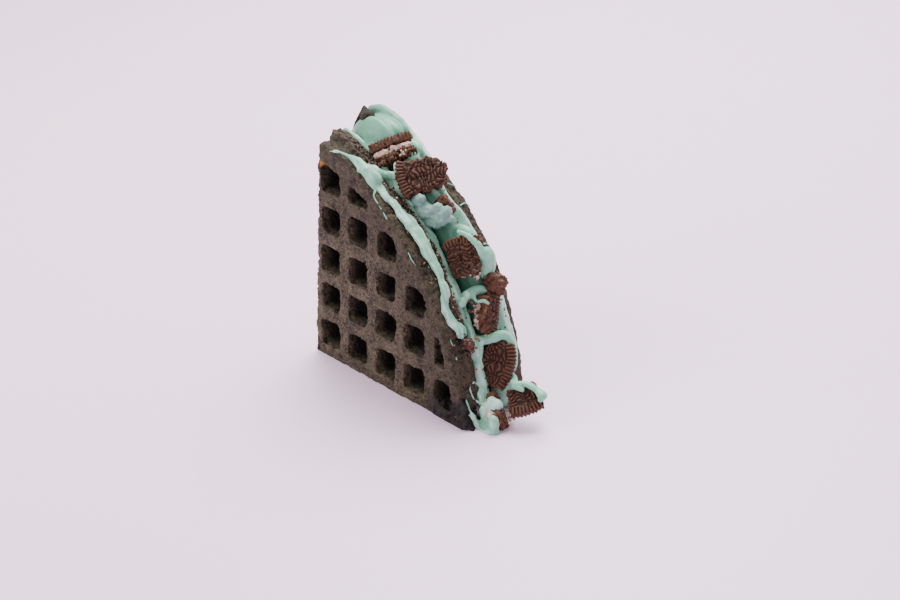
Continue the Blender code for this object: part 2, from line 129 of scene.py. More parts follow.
class CreamSettings(bpy.types.PropertyGroup):
    voxel: bpy.props.FloatProperty(
        name="Detail", description="Grid size of the cream, in metres", default=0.00049,
        min=0.0003, max=0.003, precision=5, subtype="DISTANCE", unit="LENGTH")
    mint: bpy.props.FloatVectorProperty(
        name="Mint", description="Colour of the cream", default=(0.205, 0.48, 0.335),
        size=3, min=0.0, max=1.0, subtype="COLOR")
    pale: bpy.props.FloatVectorProperty(
        name="Pale streaks", description="Colour where the cream has dried", default=(0.46, 0.655, 0.565),
        size=3, min=0.0, max=1.0, subtype="COLOR")
    # The deep mint is painted shade for the furrow, its wall and the top of the dome.
    deep: bpy.props.FloatVectorProperty(
        name="Deep mint", description="Colour down in the furrow", default=(0.030, 0.125, 0.088),
        size=3, min=0.0, max=1.0, subtype="COLOR")


class CookieSettings(bpy.types.PropertyGroup):
    voxel: bpy.props.FloatProperty(
        name="Detail", description="Grid size of the wafers, in metres", default=0.00027,
        min=0.0002, max=0.002, precision=5, subtype="DISTANCE", unit="LENGTH")
    relief: bpy.props.FloatProperty(
        name="Relief", description="Height of the pressed bars", default=0.0008,
        min=0.0, max=0.002, precision=5, subtype="DISTANCE", unit="LENGTH")
    wafer: bpy.props.FloatVectorProperty(
        name="Wafer", description="Colour of the wafer", default=(0.088, 0.0300, 0.0142),
        size=3, min=0.0, max=1.0, subtype="COLOR")
    # Painted shade between the pressed bars, also used for dark patches on the rough crumbs.
    hollow_shade_and_dark_patches: bpy.props.FloatVectorProperty(
        name="Hollows", description="Colour between the pressed bars", default=(0.016, 0.006, 0.0045),
        size=3, min=0.0, max=1.0, subtype="COLOR")
    filling: bpy.props.FloatVectorProperty(
        name="Filling", description="Colour of the cookie's filling", default=(0.78, 0.57, 0.48),
        size=3, min=0.0, max=1.0, subtype="COLOR")


class StageSettings(bpy.types.PropertyGroup):
    floor: bpy.props.FloatVectorProperty(
        name="Floor", description="Colour of the floor", default=(0.96, 0.71, 0.92),
        size=3, min=0.0, max=1.0, subtype="COLOR")
    key_power: bpy.props.FloatProperty(
        name="Key light", description="Power of the large soft light", default=26.0, min=0.0, unit="POWER")
    fill_power: bpy.props.FloatProperty(
        name="Fill light", description="Power of the light by the camera", default=4.6, min=0.0, unit="POWER")
    sky: bpy.props.FloatProperty(
        name="Room light", description="Strength of the even light of the room", default=0.9, min=0.0)
    focal: bpy.props.FloatProperty(
        name="Lens", description="Focal length on a 36 mm frame", default=60.0, min=20.0, unit="CAMERA")


# Making and finishing meshes

def spun(profile, steps=RIM_STEPS):
    """A closed body turned about Y from (radius, y) points that begin and end on the axis."""
    bm = bmesh.new()
    verts = [bm.verts.new((radius, y, 0.0)) for radius, y in profile]
    edges = [bm.edges.new(pair) for pair in zip(verts, verts[1:])]
    bmesh.ops.spin(bm, geom=verts + edges, cent=(0, 0, 0), axis=(0, 1, 0), angle=math.tau,
                   steps=steps, use_merge=True, use_duplicate=False)
    bmesh.ops.remove_doubles(bm, verts=bm.verts[:], dist=0.001)
    bmesh.ops.recalc_face_normals(bm, faces=bm.faces[:])
    return bm


def cut_straight(bm, point, normal):
    """Keep the side that normal points to, and close the cut."""
    everything = bm.verts[:] + bm.edges[:] + bm.faces[:]
    cut = bmesh.ops.bisect_plane(bm, geom=everything, plane_co=point, plane_no=normal, clear_inner=True)
    edges = [item for item in cut["geom_cut"] if isinstance(item, bmesh.types.BMEdge)]
    bmesh.ops.holes_fill(bm, edges=edges)


def side_cut(left):
    """The upright knife cut, which drifts inwards as it rises."""
    return Vector((left, 0.0, 0.0)), Vector((math.cos(SIDE_DRIFT), 0.0, -math.sin(SIDE_DRIFT)))


def floor_cut(height=0.0):
    up = Vector((0.0, -math.sin(LEAN), math.cos(LEAN)))
    return up * height, up


def bead(bm, at, radii=(1.0, 1.0, 1.0), turn=None, detail=2):
    """Add one ball of the given half sizes, turned by a matrix."""
    place = Matrix.Translation(Vector(at)) @ (turn or Matrix.Identity(4)) @ Matrix.Diagonal((*radii, 1.0))
    bmesh.ops.create_icosphere(bm, subdivisions=detail, radius=1.0, matrix=place)


def smooth_path(points, step):
    """Points every step along a smooth curve through (x, y, z, radius) points."""
    knots = [points[0]] + list(points) + [points[-1]]
    out = []
    for a, b, c, d in zip(knots, knots[1:], knots[2:], knots[3:]):
        a, b, c, d = (Vector(p) for p in (a, b, c, d))
        count = max(2, round((c.xyz - b.xyz).length / step))
        for k in range(count):
            t = k / count
            out.append(0.5 * (2 * b + (c - a) * t + (2 * a - 5 * b + 4 * c - d) * t * t
                              + (3 * b - a - 3 * c + d) * t ** 3))
    out.append(Vector(points[-1]))
    return out


def rope(bm, points, step=0.8, squash=(1.0, 1.0, 1.0), uneven=0.0):
    """A run of balls along a smooth path of (x, y, z, radius) points, which swells and thins."""
    for x, y, z, radius in smooth_path(points, step):
        size = max(radius, 0.14) * (1.0 + uneven * wander(Vector((x, y, z)), 2.8, 7.0))
        bead(bm, (x, y, z), [size * s for s in squash])


def to_mesh(bm, name):
    mesh = bpy.data.meshes.new(name)
    bm.normal_update()
    bm.to_mesh(mesh)
    bm.free()
    return mesh


def opened(mesh):
    """The mesh as a bmesh again."""
    bm = bmesh.new()
    bm.from_mesh(mesh)
    bpy.data.meshes.remove(mesh)
    return bm


def poured(bm, into):
    """Add all of bm to another bmesh."""
    mesh = to_mesh(bm, "part")
    into.from_mesh(mesh)
    bpy.data.meshes.remove(mesh)


def applied(mesh, add_steps):
    """The mesh with the modifiers that add_steps puts on it."""
    holder = bpy.data.objects.new(mesh.name, mesh)
    bpy.context.scene.collection.objects.link(holder)
    add_steps(holder)
    bpy.context.view_layer.update()
    seen = holder.evaluated_get(bpy.context.evaluated_depsgraph_get())
    made = bpy.data.meshes.new_from_object(seen)
    bpy.data.objects.remove(holder)
    bpy.data.meshes.remove(mesh)
    return made


def remeshed(bm, name, voxel, rounds):
    """One even skin round everything in bm, then smoothed."""
    def steps(holder):
        grid = holder.modifiers.new("grid", "REMESH")
        grid.mode = "VOXEL"
        grid.voxel_size = voxel
        soft = holder.modifiers.new("soft", "SMOOTH")
        soft.factor = 0.5
        soft.iterations = rounds
    return applied(to_mesh(bm, name), steps)


def without(mesh, cutter_bm):
    """The mesh with the cutter's bodies taken out of it."""
    cutter = bpy.data.objects.new("cutter", to_mesh(cutter_bm, "cutter"))
    bpy.context.scene.collection.objects.link(cutter)

    def steps(holder):
        cut = holder.modifiers.new("cut", "BOOLEAN")
        cut.operation = "DIFFERENCE"
        cut.solver = "EXACT"
        cut.object = cutter
    made = applied(mesh, steps)
    old = cutter.data
    bpy.data.objects.remove(cutter)
    bpy.data.meshes.remove(old)
    return made


def displaced(mesh, amount):
    """Move each vertex along its normal by amount(point, normal)."""
    moves = [amount(vert.co, vert.normal) for vert in mesh.vertices]
    points = [vert.co + vert.normal * move for vert, move in zip(mesh.vertices, moves)]
    mesh.vertices.foreach_set("co", np.array([tuple(p) for p in points], np.float32).ravel())
    mesh.update()


def painted(mesh, name, value):
    """A number for each vertex, which its material reads."""
    numbers = np.array([value(vert.co, vert.normal) for vert in mesh.vertices], np.float32)
    mesh.attributes.new(name, "FLOAT", "POINT").data.foreach_set("value", numbers)


def ramp(value, low, high):
    t = min(max((value - low) / (high - low), 0.0), 1.0)
    return t * t * (3 - 2 * t)


def wander(point, size, seed):
    """Smooth noise from about -1 to 1, whose lumps are size across."""
    return noise.noise(point / size + Vector((seed, 0.37 * seed, 0.0)))


def layered(point, *layers):
    """Sum of (height, size, seed) layers of noise."""
    return sum(height * wander(point, size, seed) for height, size, seed in layers)


def in_plane(point):
    """The point without its depth."""
    return Vector((point.x, 0.0, point.z))


def turn_of(arm):
    return math.degrees(math.atan2(arm.z, arm.x))


def arm_at(turn):
    return Vector((math.cos(math.radians(turn)), 0.0, math.sin(math.radians(turn))))


def aimed(way, axis="Z"):
    """The matrix that turns an axis to look along way."""
    return Vector(way).to_track_quat(axis, "Y").to_matrix().to_4x4()


def finished(name, mesh, material, slot, nodes=()):
    """Put a mesh of the leaning frame in its place as a piece of the object."""
    mesh.transform(TO_ROW)
    for vert in mesh.vertices:
        vert.co.z = max(vert.co.z, 0.0)
    mesh.name = name
    mesh.materials.clear()
    mesh.materials.append(material)
    mesh.polygons.foreach_set("use_smooth", [True] * len(mesh.polygons))
    piece = bpy.data.objects.new(name, mesh)
    bpy.context.scene.collection.objects.link(piece)
    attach(piece, BODY)
    if nodes:
        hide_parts(*nodes)
    return piece


# Materials

class Look:
    """A node material under construction, read on Object coordinates."""

    def __init__(self, name, roughness=0.6, **sockets):
        self.material = bpy.data.materials.new(name)
        self.material.use_nodes = True
        self.tree = self.material.node_tree
        self.shader = self.tree.nodes["Principled BSDF"]
        self.set("Roughness", roughness)
        for socket, value in sockets.items():
            self.set(socket.replace("_", " "), value)
        self.place = self.node("ShaderNodeTexCoord").outputs["Object"]

    def set(self, socket, value):
        self.shader.inputs[socket].default_value = value

    def node(self, kind, **values):
        made = self.tree.nodes.new(kind)
        for key, value in values.items():
            setattr(made, key, value)
        return made

    def wire(self, source, target):
        self.tree.links.new(source, target)

    def noise(self, scale, detail=4.0, rough=0.55, stretch=None):
        place = self.place
        if stretch:
            turned = self.node("ShaderNodeMapping")
            turned.inputs["Scale"].default_value = stretch
            self.wire(place, turned.inputs["Vector"])
            place = turned.outputs["Vector"]
        made = self.node("ShaderNodeTexNoise")
        made.inputs["Scale"].default_value = scale
        made.inputs["Detail"].default_value = detail
        made.inputs["Roughness"].default_value = rough
        self.wire(place, made.inputs["Vector"])
        return made.outputs["Fac"]

    def cells(self, scale):
        made = self.node("ShaderNodeTexVoronoi")
        made.inputs["Scale"].default_value = scale
        self.wire(self.place, made.inputs["Vector"])
        return made.outputs["Distance"]

    def attribute(self, name):
        return self.node("ShaderNodeAttribute", attribute_name=name).outputs["Fac"]

    def spread(self, value, low, high, to_low=0.0, to_high=1.0):
        made = self.node("ShaderNodeMapRange")
        numbers = {"From Min": low, "From Max": high, "To Min": to_low, "To Max": to_high}
        for socket, number in numbers.items():
            made.inputs[socket].default_value = number
        self.wire(value, made.inputs["Value"])
        return made.outputs["Result"]

    def maths(self, kind, a, b):
        made = self.node("ShaderNodeMath", operation=kind)
        for socket, value in zip(made.inputs, (a, b)):
            if isinstance(value, (int, float)):
                socket.default_value = value
            else:
                self.wire(value, socket)
        return made.outputs["Value"]

    def mix(self, share, a, b):
        made = self.node("ShaderNodeMix", data_type="RGBA")
        self.wire(share, made.inputs["Factor"])
        for socket, value in ((made.inputs["A"], a), (made.inputs["B"], b)):
            target = [s for s in made.inputs if s.name == socket.name and s.type == "RGBA"][0]
            if isinstance(value, bpy.types.NodeSocket):
                self.wire(value, target)
            else:
                target.default_value = (*value, 1.0)
        return [s for s in made.outputs if s.type == "RGBA"][0]

    def bump(self, layers):
        """Stack of (height, strength, distance in metres) bumps."""
        normal = None
        for height, strength, distance in layers:
            made = self.node("ShaderNodeBump")
            made.inputs["Strength"].default_value = strength
            made.inputs["Distance"].default_value = distance
            self.wire(height, made.inputs["Height"])
            if normal:
                self.wire(normal, made.inputs["Normal"])
            normal = made.outputs["Normal"]
        self.wire(normal, self.shader.inputs["Normal"])

    def colour(self, value):
        self.wire(value, self.shader.inputs["Base Color"])
        return self.material

    def roughness(self, value):
        self.wire(value, self.shader.inputs["Roughness"])


def shade(colour, share):
    return tuple(share * c for c in colour)


# Colours that the settings don't give
CRUMB_GRAIN, CRUMB_PORE = (0.175, 0.137, 0.092), (0.007, 0.005, 0.004)
# The pocket colour is painted shade: a near black laid down in the waffle's pockets.
BAKED_SPOT, POCKET_SHADE, WET_CRUMB = (0.55, 0.22, 0.035), (0.006, 0.0045, 0.004), (0.012, 0.0095, 0.0085)
GLOB_MINT, GLOB_PALE = (0.18, 0.31, 0.265), (0.36, 0.45, 0.44)
CREAM_FILM, CREAM_SPECK = (0.34, 0.33, 0.38), (0.035, 0.018, 0.012)
WAFER_GRAIN, WAFER_TORN = (0.150, 0.060, 0.033), (0.150, 0.060, 0.027)
FILLING_GRAIN, FILLING_SPECK = (0.50, 0.30, 0.22), (0.075, 0.032, 0.020)
FLAKE_DARK, FLAKE_LIGHT = (0.022, 0.017, 0.015), (0.065, 0.050, 0.042)


def waffle_look(settings):
    look = Look("dark_waffle_crumb", 0.8, Specular_IOR_Level=0.22)
    rib, crust, toast = (tuple(c) for c in (settings.rib, settings.crust, settings.toast))
    broad = look.noise(170.0, 6.0, 0.68)
    grain = look.noise(1250.0, 6.0, 0.75)
    pores = look.cells(480.0)
    colour = look.mix(look.spread(broad, 0.40, 0.60), crust, rib)
    colour = look.mix(look.spread(grain, 0.48, 0.64, 0.0, 0.9), colour, CRUMB_GRAIN)
    colour = look.mix(look.spread(pores, 0.06, 0.32, 0.92, 0.0), colour, CRUMB_PORE)
    fleck = look.spread(look.noise(520.0, 3.0, 0.6), 0.64, 0.72)
    colour = look.mix(look.maths("MULTIPLY", fleck, look.attribute("rim")), colour, toast)
    colour = look.mix(look.attribute("spot"), colour, BAKED_SPOT)
    # Painted shade: the crumb darkens towards the curved rim and on it.
    rim_shade = look.maths("MULTIPLY", look.attribute("rim_shade"), 0.42)
    colour = look.mix(rim_shade, colour, shade(crust, 0.8))
    # Painted shade: the pockets darken to near black the deeper they go.
    deep = look.spread(look.attribute("pocket"), 0.0, 1.0, 0.0, 0.93)
    colour = look.mix(deep, colour, POCKET_SHADE)
    colour = look.mix(look.attribute("wet"), colour, WET_CRUMB)
    rough = look.maths("SUBTRACT", look.spread(grain, 0.3, 0.7, 0.62, 0.85),
                       look.maths("MULTIPLY", look.attribute("wet"), 0.32))
    look.roughness(rough)
    look.bump([(look.noise(600.0, 5.0, 0.65), 0.7, 0.0009), (look.noise(2400.0, 3.0, 0.6), 0.45, 0.0003),
               (look.cells(780.0), 0.35, 0.0004)])
    return look.colour(colour)


def cream_look(settings, name="mint_cream_look", glob=False):
    look = Look(name, 0.38, Subsurface_Weight=0.18, Subsurface_Scale=0.0016, Coat_Weight=0.05,
                Coat_Roughness=0.25, Specular_IOR_Level=0.28)
    look.set("Subsurface Radius", (0.7, 1.0, 0.85))
    mint, pale, deep = (tuple(c) for c in (settings.mint, settings.pale, settings.deep))
    if glob:
        mint, pale = GLOB_MINT, GLOB_PALE
    streak = look.noise(130.0, 5.0, 0.6, (1.0, 2.2, 1.0))
    cloud = look.noise(420.0, 4.0, 0.55)
    colour = look.mix(look.spread(streak, 0.52, 0.74, 0.0, 0.6), mint, pale)
    colour = look.mix(look.spread(cloud, 0.35, 0.65, 0.0, 0.22), colour, shade(mint, 0.72))
    # Painted shade in the deep mint, on the cream in the furrow, on its wall, on the dome's lit top and on
    # the glob's lower part.
    colour = look.mix(look.attribute("deep"), colour, deep)
    colour = look.mix(look.attribute("pale"), colour, pale)
    film = look.maths("MULTIPLY", look.spread(look.noise(210.0, 3.0), 0.60, 0.70, 0.0, 0.5),
                      look.spread(look.noise(45.0, 1.0), 0.45, 0.60))
    colour = look.mix(film, colour, CREAM_FILM)
    specks = look.spread(look.cells(330.0), 0.0, 0.085, 1.0, 0.0)
    near = look.maths("MULTIPLY", specks, look.spread(look.noise(60.0, 2.0), 0.50, 0.60))
    colour = look.mix(near, colour, CREAM_SPECK)
    look.roughness(look.spread(cloud, 0.3, 0.7, 0.26, 0.46))
    look.bump([(look.noise(260.0, 4.0, 0.5), 0.20, 0.0007), (look.noise(1400.0, 3.0, 0.5), 0.12, 0.0003)])
    return look.colour(colour)


def wafer_look(settings):
    look = Look("cookie_wafer_look", 0.66, Specular_IOR_Level=0.3)
    wafer, hollow_shade_and_dark_patches = tuple(settings.wafer), tuple(settings.hollow_shade_and_dark_patches)
    grain = look.noise(1300.0, 5.0, 0.65)
    broad = look.noise(300.0, 4.0, 0.55)
    colour = look.mix(look.spread(broad, 0.35, 0.65), wafer, shade(wafer, 0.72))
    colour = look.mix(look.spread(grain, 0.42, 0.75, 0.0, 0.6), colour, WAFER_GRAIN)
    # Painted shade in the hollows between the pressed bars, and random dark patches on the rough crumbs.
    colour = look.mix(look.attribute("hollow_shade_and_dark_patches"), colour, hollow_shade_and_dark_patches)
    tan = look.spread(look.noise(480.0, 3.0), 0.46, 0.68, 0.0, 0.8)
    colour = look.mix(look.maths("MULTIPLY", look.attribute("torn"), tan), colour, WAFER_TORN)
    look.roughness(look.spread(grain, 0.3, 0.7, 0.50, 0.78))
    look.bump([(look.noise(900.0, 4.0, 0.6), 0.35, 0.0004), (look.noise(3200.0, 2.0, 0.5), 0.25, 0.00015)])
    return look.colour(colour)


def filling_look(settings):
    look = Look("cookie_filling_look", 0.6, Subsurface_Weight=0.12, Subsurface_Scale=0.001)
    grain = look.noise(900.0, 5.0, 0.65)
    colour = look.mix(look.spread(grain, 0.35, 0.7), tuple(settings.filling), FILLING_GRAIN)
    crumb = look.spread(look.cells(560.0), 0.05, 0.20, 0.85, 0.0)
    near = look.maths("MULTIPLY", crumb, look.spread(look.noise(240.0, 2.0), 0.42, 0.52))
    colour = look.mix(near, colour, FILLING_SPECK)
    look.bump([(look.noise(800.0, 5.0, 0.6), 0.5, 0.0006)])
    return look.colour(colour)


def crumb_look(name, dark, light):
    look = Look(name, 0.72)
    grain = look.noise(900.0, 4.0, 0.6)
    colour = look.mix(look.spread(grain, 0.35, 0.68), dark, light)
    look.bump([(look.noise(1800.0, 4.0, 0.6), 0.45, 0.0003)])
    return look.colour(colour)


def flake_look():
    look = Look("wet_flake_look", 0.2, Coat_Weight=0.5, Coat_Roughness=0.1)
    colour = look.mix(look.spread(look.noise(500.0), 0.4, 0.7), FLAKE_DARK, FLAKE_LIGHT)
    look.bump([(look.noise(500.0, 3.0), 0.2, 0.0004)])
    return look.colour(colour)


# Waffle plates. Each lump swells the rim round one direction, by so much at its outer and inner half.

FRONT = {"centre": FRONT_CENTRE, "shift": (0.0, 0.0), "seed": 1.0, "left": -0.9, "back": False,
         "lumps": [{"toward": 75, "spread": 12, "outer": 3.4, "inner": 1.5},
                   {"toward": 85, "spread": 12, "outer": 0.0, "inner": 5.6},
                   {"toward": 6, "spread": 9, "outer": 2.6, "inner": 1.6}]}
BACK = {"centre": BACK_CENTRE, "shift": (-1.0, 6.5), "seed": 2.0, "left": -1.5, "back": True,
        "lumps": [{"toward": 86, "spread": 12, "outer": 0.0, "inner": 4.6}]}
RIM_SECTION = [
    (-1.8, 0), (-0.9, 0.5), (-0.5, 1), (-0.1, 3.2), (0.2, 5.4), (1.6, 6.4), (1.5, 7.4), (0.2, 8.4),
    (-0.4, 10.2), (-1, 12), (-1.5, 13.6), (-2.2, 15),
]


def middle_of(spec):
    return Vector((spec["centre"][0], 0.0, spec["centre"][1]))


def rim_rise(spec, arm, depth):
    """How far the rim stands out from its circle at one direction and depth."""
    around = arm.normalized() * RIM_RADIUS + Vector((0.0, depth, 0.0))
    rise = 0.9 * noise.noise(around / 7 + Vector((spec["seed"], 0.0, 0.0)))
    rise += 0.45 * noise.noise(around / 2.6 + Vector((0.0, spec["seed"], 0.0)))
    inward = min(max((depth - 5.0) / 3.4, 0.0), 1.0)
    for lump in spec["lumps"]:
        off = (turn_of(arm) - lump["toward"]) / lump["spread"]
        rise += math.exp(-off * off) * (lump["outer"] + (lump["inner"] - lump["outer"]) * inward)
    return rise


def plate_disc(spec):
    profile = [(0.0, 0.0)] + [(RIM_RADIUS + out, y) for out, y in RIM_SECTION] + [(0.0, PLATE_THICK)]
    bm = spun(profile)
    centre = middle_of(spec)
    for vert in bm.verts:
        arm = in_plane(vert.co)
        if arm.length > RIM_RADIUS - 8:
            vert.co += arm.normalized() * rim_rise(spec, arm, vert.co.y)
        vert.co += centre
    return bm


def extrude_on(bm, face):
    lone = len(bm.faces) == 1
    grown = bmesh.ops.extrude_face_region(bm, geom=[face])
    if not lone:
        bmesh.ops.delete(bm, geom=[face], context="FACES_ONLY")
    return next(item for item in grown["geom"] if isinstance(item, bmesh.types.BMFace))


def pocket(column, row, spec, deep, rng):
    """Cutter for one tapered pocket, and the middle and half width of its mouth."""
    middle = Vector((FIRST_POCKET[0] + column * PITCH + spec["shift"][0], 0.0,
                     FIRST_POCKET[1] + row * PITCH + spec["shift"][1]))
    middle += Vector((rng.uniform(-0.3, 0.3), 0.0, rng.uniform(-0.3, 0.3)))
    half = POCKET_WIDE / 2 * rng.uniform(0.96, 1.03)
    bm = bmesh.new()
    corners = [(-half, -half), (-half, half), (half, half), (half, -half)]
    face = bm.faces.new([bm.verts.new(middle + Vector((x, 0.0, z))) for x, z in corners])
    full = face.calc_area()
    centre = middle_of(spec)
    arm = middle - centre
    rib = arm.normalized() * (RIM_RADIUS - RIM_RIB) + centre
    everything = bm.verts[:] + bm.edges[:] + bm.faces[:]
    bmesh.ops.bisect_plane(bm, geom=everything, plane_co=rib, plane_no=arm.normalized(), clear_outer=True)
    if not bm.faces or sum(f.calc_area() for f in bm.faces) < POCKET_LEAST * full:
        bm.free()
        return None
    bmesh.ops.bevel(bm, geom=bm.verts[:], offset=POCKET_CORNER, offset_type="OFFSET", segments=4, profile=0.5,
                    affect="VERTICES", clamp_overlap=True, material=-1)
    turn = Matrix.Rotation(rng.uniform(-0.03, 0.03), 3, "Y")
    face = max(bm.faces, key=lambda f: f.calc_area())
    heart = face.calc_center_median()
    levels = [(-1.2, 1.05), (1.0, 0.99), (0.55 * deep, 0.90), (deep - 1.4, 0.80), (deep, 0.60)]
    for vert in face.verts:
        vert.co = heart + turn @ (vert.co - heart) * levels[0][1] + Vector((0.0, levels[0][0], 0.0))
    for (above, wide), (depth, narrow) in zip(levels, levels[1:]):
        face = extrude_on(bm, face)
        for vert in face.verts:
            spread = (vert.co - heart) * (narrow / wide)
            vert.co = heart + Vector((spread.x, depth, spread.z))
    bmesh.ops.recalc_face_normals(bm, faces=bm.faces[:])
    return bm, heart, half


def pockets(spec, deep):
    rng = random.Random(spec["seed"])
    joined, mouths = bmesh.new(), []
    for column in range(POCKET_COUNT):
        for row in range(POCKET_COUNT):
            one = pocket(column, row, spec, deep, rng)
            if one is None:
                continue
            bm, heart, half = one
            mouths.append((heart.x, heart.z, half))
            poured(bm, joined)
    return joined, mouths


def face_the_back(bm):
    bm.transform(Matrix.Translation((0.0, TOTAL_THICK, 0.0)) @ Matrix.Scale(-1.0, 4, (0.0, 1.0, 0.0)))
    bmesh.ops.reverse_faces(bm, faces=bm.faces[:])


def waffle_plate(name, spec, settings, look):
    """One quarter plate with crumbly pockets, pores and a torn rim."""
    deep = settings.pocket_deep / MM
    body = plate_disc(spec)
    dents, mouths = pockets(spec, deep)
    if spec["back"]:
        face_the_back(body)
        face_the_back(dents)
    cut_straight(body, *side_cut(spec["left"]))
    cut_straight(body, *floor_cut())
    cut = without(to_mesh(body, name), dents)
    mesh = remeshed(opened(cut), name, settings.voxel / MM, 2)
    centre = middle_of(spec)
    floor_point, floor_up = floor_cut()

    def outer(point):
        return TOTAL_THICK - point.y if spec["back"] else point.y

    def in_pocket(point):
        return any(max(abs(point.x - x), abs(point.z - z)) < half + 0.9 for x, z, half in mouths)

    # Painted shade in the pockets, growing with depth below the face.
    def pocket_shade_share(point, normal):
        depth = outer(point)
        if depth < 0.4 or depth > deep + 0.8 or not in_pocket(point):
            return 0.0
        return ramp(depth, 0.4, 0.62 * deep)

    def rim_share(point, normal):
        reach = (in_plane(point) - centre).length
        return ramp(reach, RIM_RADIUS - 7.0, RIM_RADIUS - 2.0) * ramp(outer(point), 0.2, 2.0)

    # Painted shade, darker towards the curved rim.
    def rim_shade_share(point, normal):
        return ramp((in_plane(point) - centre).length, 66.0, 100.0)

    def wet_share(point, normal):
        if spec["back"]:
            return 0.0
        near = ramp(point.x - 0.55 * point.z + 3.0 * wander(point, 5.0, 81.0), 64.0, 76.0)
        return 0.95 * near * ramp(15.0 - point.z + 3.0 * wander(point, 4.0, 83.0), 0.0, 6.0)

    def spot_share(point, normal):
        return 0.0 if spec["back"] else 1.0 - ramp((point - Vector((3.6, 0.0, 86.4))).length, 1.0, 2.0)

    def crumble(point, normal):
        if (point - floor_point).dot(floor_up) < 0.35:
            return 0.0
        lump = layered(point, (0.34, 8.0, spec["seed"]), (0.30, 3.1, 4.0))
        grain = 0.34 * wander(point, 1.35, 9.0)
        mouth = 0.9 if 0.1 < outer(point) < 2.6 and in_pocket(point) else 0.0
        chips = -mouth * ramp(wander(point, 2.6, 17.0), 0.0, 0.5)
        near = noise.voronoi(point / 2.1)[0][0]
        pore = -0.95 * (1.0 - ramp(near, 0.12, 0.34)) * ramp(wander(point, 9.0, 21.0), -0.16, 0.25)
        edge = 1.0 - ramp(min(point.x - spec["left"], (point - floor_point).dot(floor_up)), 0.4, 3.0)
        broken = -0.8 * edge * ramp(wander(point, 3.0, 51.0), 0.22, 0.55)
        rim = rim_share(point, normal) * (1.0 - 0.8 * ramp(outer(point), 4.5, 7.5) if spec["back"] else 1.0)
        torn = rim * (0.5 * wander(point, 2.0, 31.0) - 0.8 * ramp(wander(point, 3.4, 41.0), 0.14, 0.55))
        wet = wet_share(point, normal) * layered(point, (1.5, 2.6, 61.0), (1.1, 1.3, 67.0))
        return lump + grain + chips + pore + broken + torn + wet

    for mask, share in (("pocket", pocket_shade_share), ("rim", rim_share), ("wet", wet_share),
                        ("rim_shade", rim_shade_share), ("spot", spot_share)):
        painted(mesh, mask, share)
    displaced(mesh, crumble)
    return finished(name, mesh, look, "dark_waffle", ["back_waffle" if spec["back"] else "front_waffle"])


# Mint cream

def centre_at(y):
    """Middle of the rim's circle at one depth, which slides from the front plate's to the back plate's."""
    t = ramp(y, PLATE_THICK, PLATE_THICK + GAP)
    return Vector((FRONT_CENTRE[0] + (BACK_CENTRE[0] - FRONT_CENTRE[0]) * t, 0.0,
                   FRONT_CENTRE[1] + (BACK_CENTRE[1] - FRONT_CENTRE[1]) * t))


def rim_point(turn, out, y):
    return centre_at(y) + arm_at(turn) * (RIM_RADIUS + out) + Vector((0.0, y, 0.0))


def table(pairs, at):
    """Straight interpolation in a table of falling angles."""
    xs = [p[0] for p in pairs][::-1]
    return [float(np.interp(at, xs, [p[k] for p in pairs][::-1])) for k in range(1, len(pairs[0]))]


# Strips of cream along the front rim: angle round the rim, depth of the middle, half width
STRIP_ONE = [
    (67, 4.4, 2.6), (63.7, 4.7, 3), (59.5, 5.5, 2.9), (54.5, 6, 3.1), (49.7, 6.3, 3.2), (46, 6.8, 2.8),
    (43.2, 7.7, 2.1), (39, 7, 2.2), (35.7, 5.9, 2.1), (32.6, 4.3, 2.7), (29.2, 5.2, 3.2), (25.9, 7.3, 2.9),
]
STRIP_TWO = [
    (82, 13.8, 1), (77, 14.3, 1.2), (72.1, 14.9, 1.3), (67.2, 13.2, 2.7), (63, 13.4, 2.6), (61, 14.2, 2),
    (51.5, 14.4, 1.9), (43.1, 14.2, 2.1), (38, 13.2, 2.2), (35.8, 12.6, 2.2), (31, 11.8, 1.8),
    (27, 12.5, 1.6),
]

# How far back the coat of cream reaches on the back plate's rim: angle round the rim, depth
COAT_EDGE = [
    (100, 35.2), (74, 34.4), (68.6, 32.2), (58.3, 29.8), (53.6, 28.4), (50.7, 28.6), (46.6, 30.6),
    (38.4, 31.4), (35, 32.2), (31.6, 30.8), (23.6, 30.2), (17.4, 31), (10.8, 29), (0, 28.5),
]

# Rounded lumps of cream: centre and half sizes
BLOBS = [
    ((12.2, 21.2, 91.6), (14, 5.1, 12.8)), ((12, 25.2, 98.8), (12, 5, 5.4)),
    ((27, 24.4, 90.5), (9, 3.6, 5.5)), ((24, 27.6, 94.4), (10, 3.8, 4)), ((63.5, 24, 63.5), (7.5, 4.2, 9)),
    ((71, 27, 56.5), (3, 3, 8)), ((75.6, 25, 60), (3.6, 3.9, 7)), ((76.2, 22.8, 64.6), (2.5, 2.7, 3)),
    ((88, 24.5, 25), (4, 5, 8)), ((90, 22.5, 10), (4, 6, 8)), ((89, 11, 8), (4, 5, 8)),
    ((92.5, 12.5, 4), (3.5, 4.5, 4)), ((95.5, 10.5, 1.6), (3.8, 4.8, 1.5)),
    ((92.8, 10.4, 6), (3, 2.8, 4.6)), ((94.4, 9.8, 2.8), (3, 2.4, 2.4)),
    ((95, 13.2, 8.8), (2.2, 2.2, 2.6)), ((94.8, 8, 7.2), (2.6, 2, 3.6)), ((96.2, 8.6, 4.2), (2.8, 2.2, 2)),
    ((97, 6.9, 0.8), (6, 2.6, 0.7)), ((101, 6.9, 5), (2.4, 1.9, 3.7)),
    ((100.4, 7.2, 1.6), (3.2, 2.4, 1.6)), ((98.4, 10.8, 10.2), (2.5, 2.4, 3)),
    ((96.4, 10.2, 10.8), (2.2, 2, 3)), ((98.6, 9.8, 7.4), (2.3, 1.9, 2.6)),
]

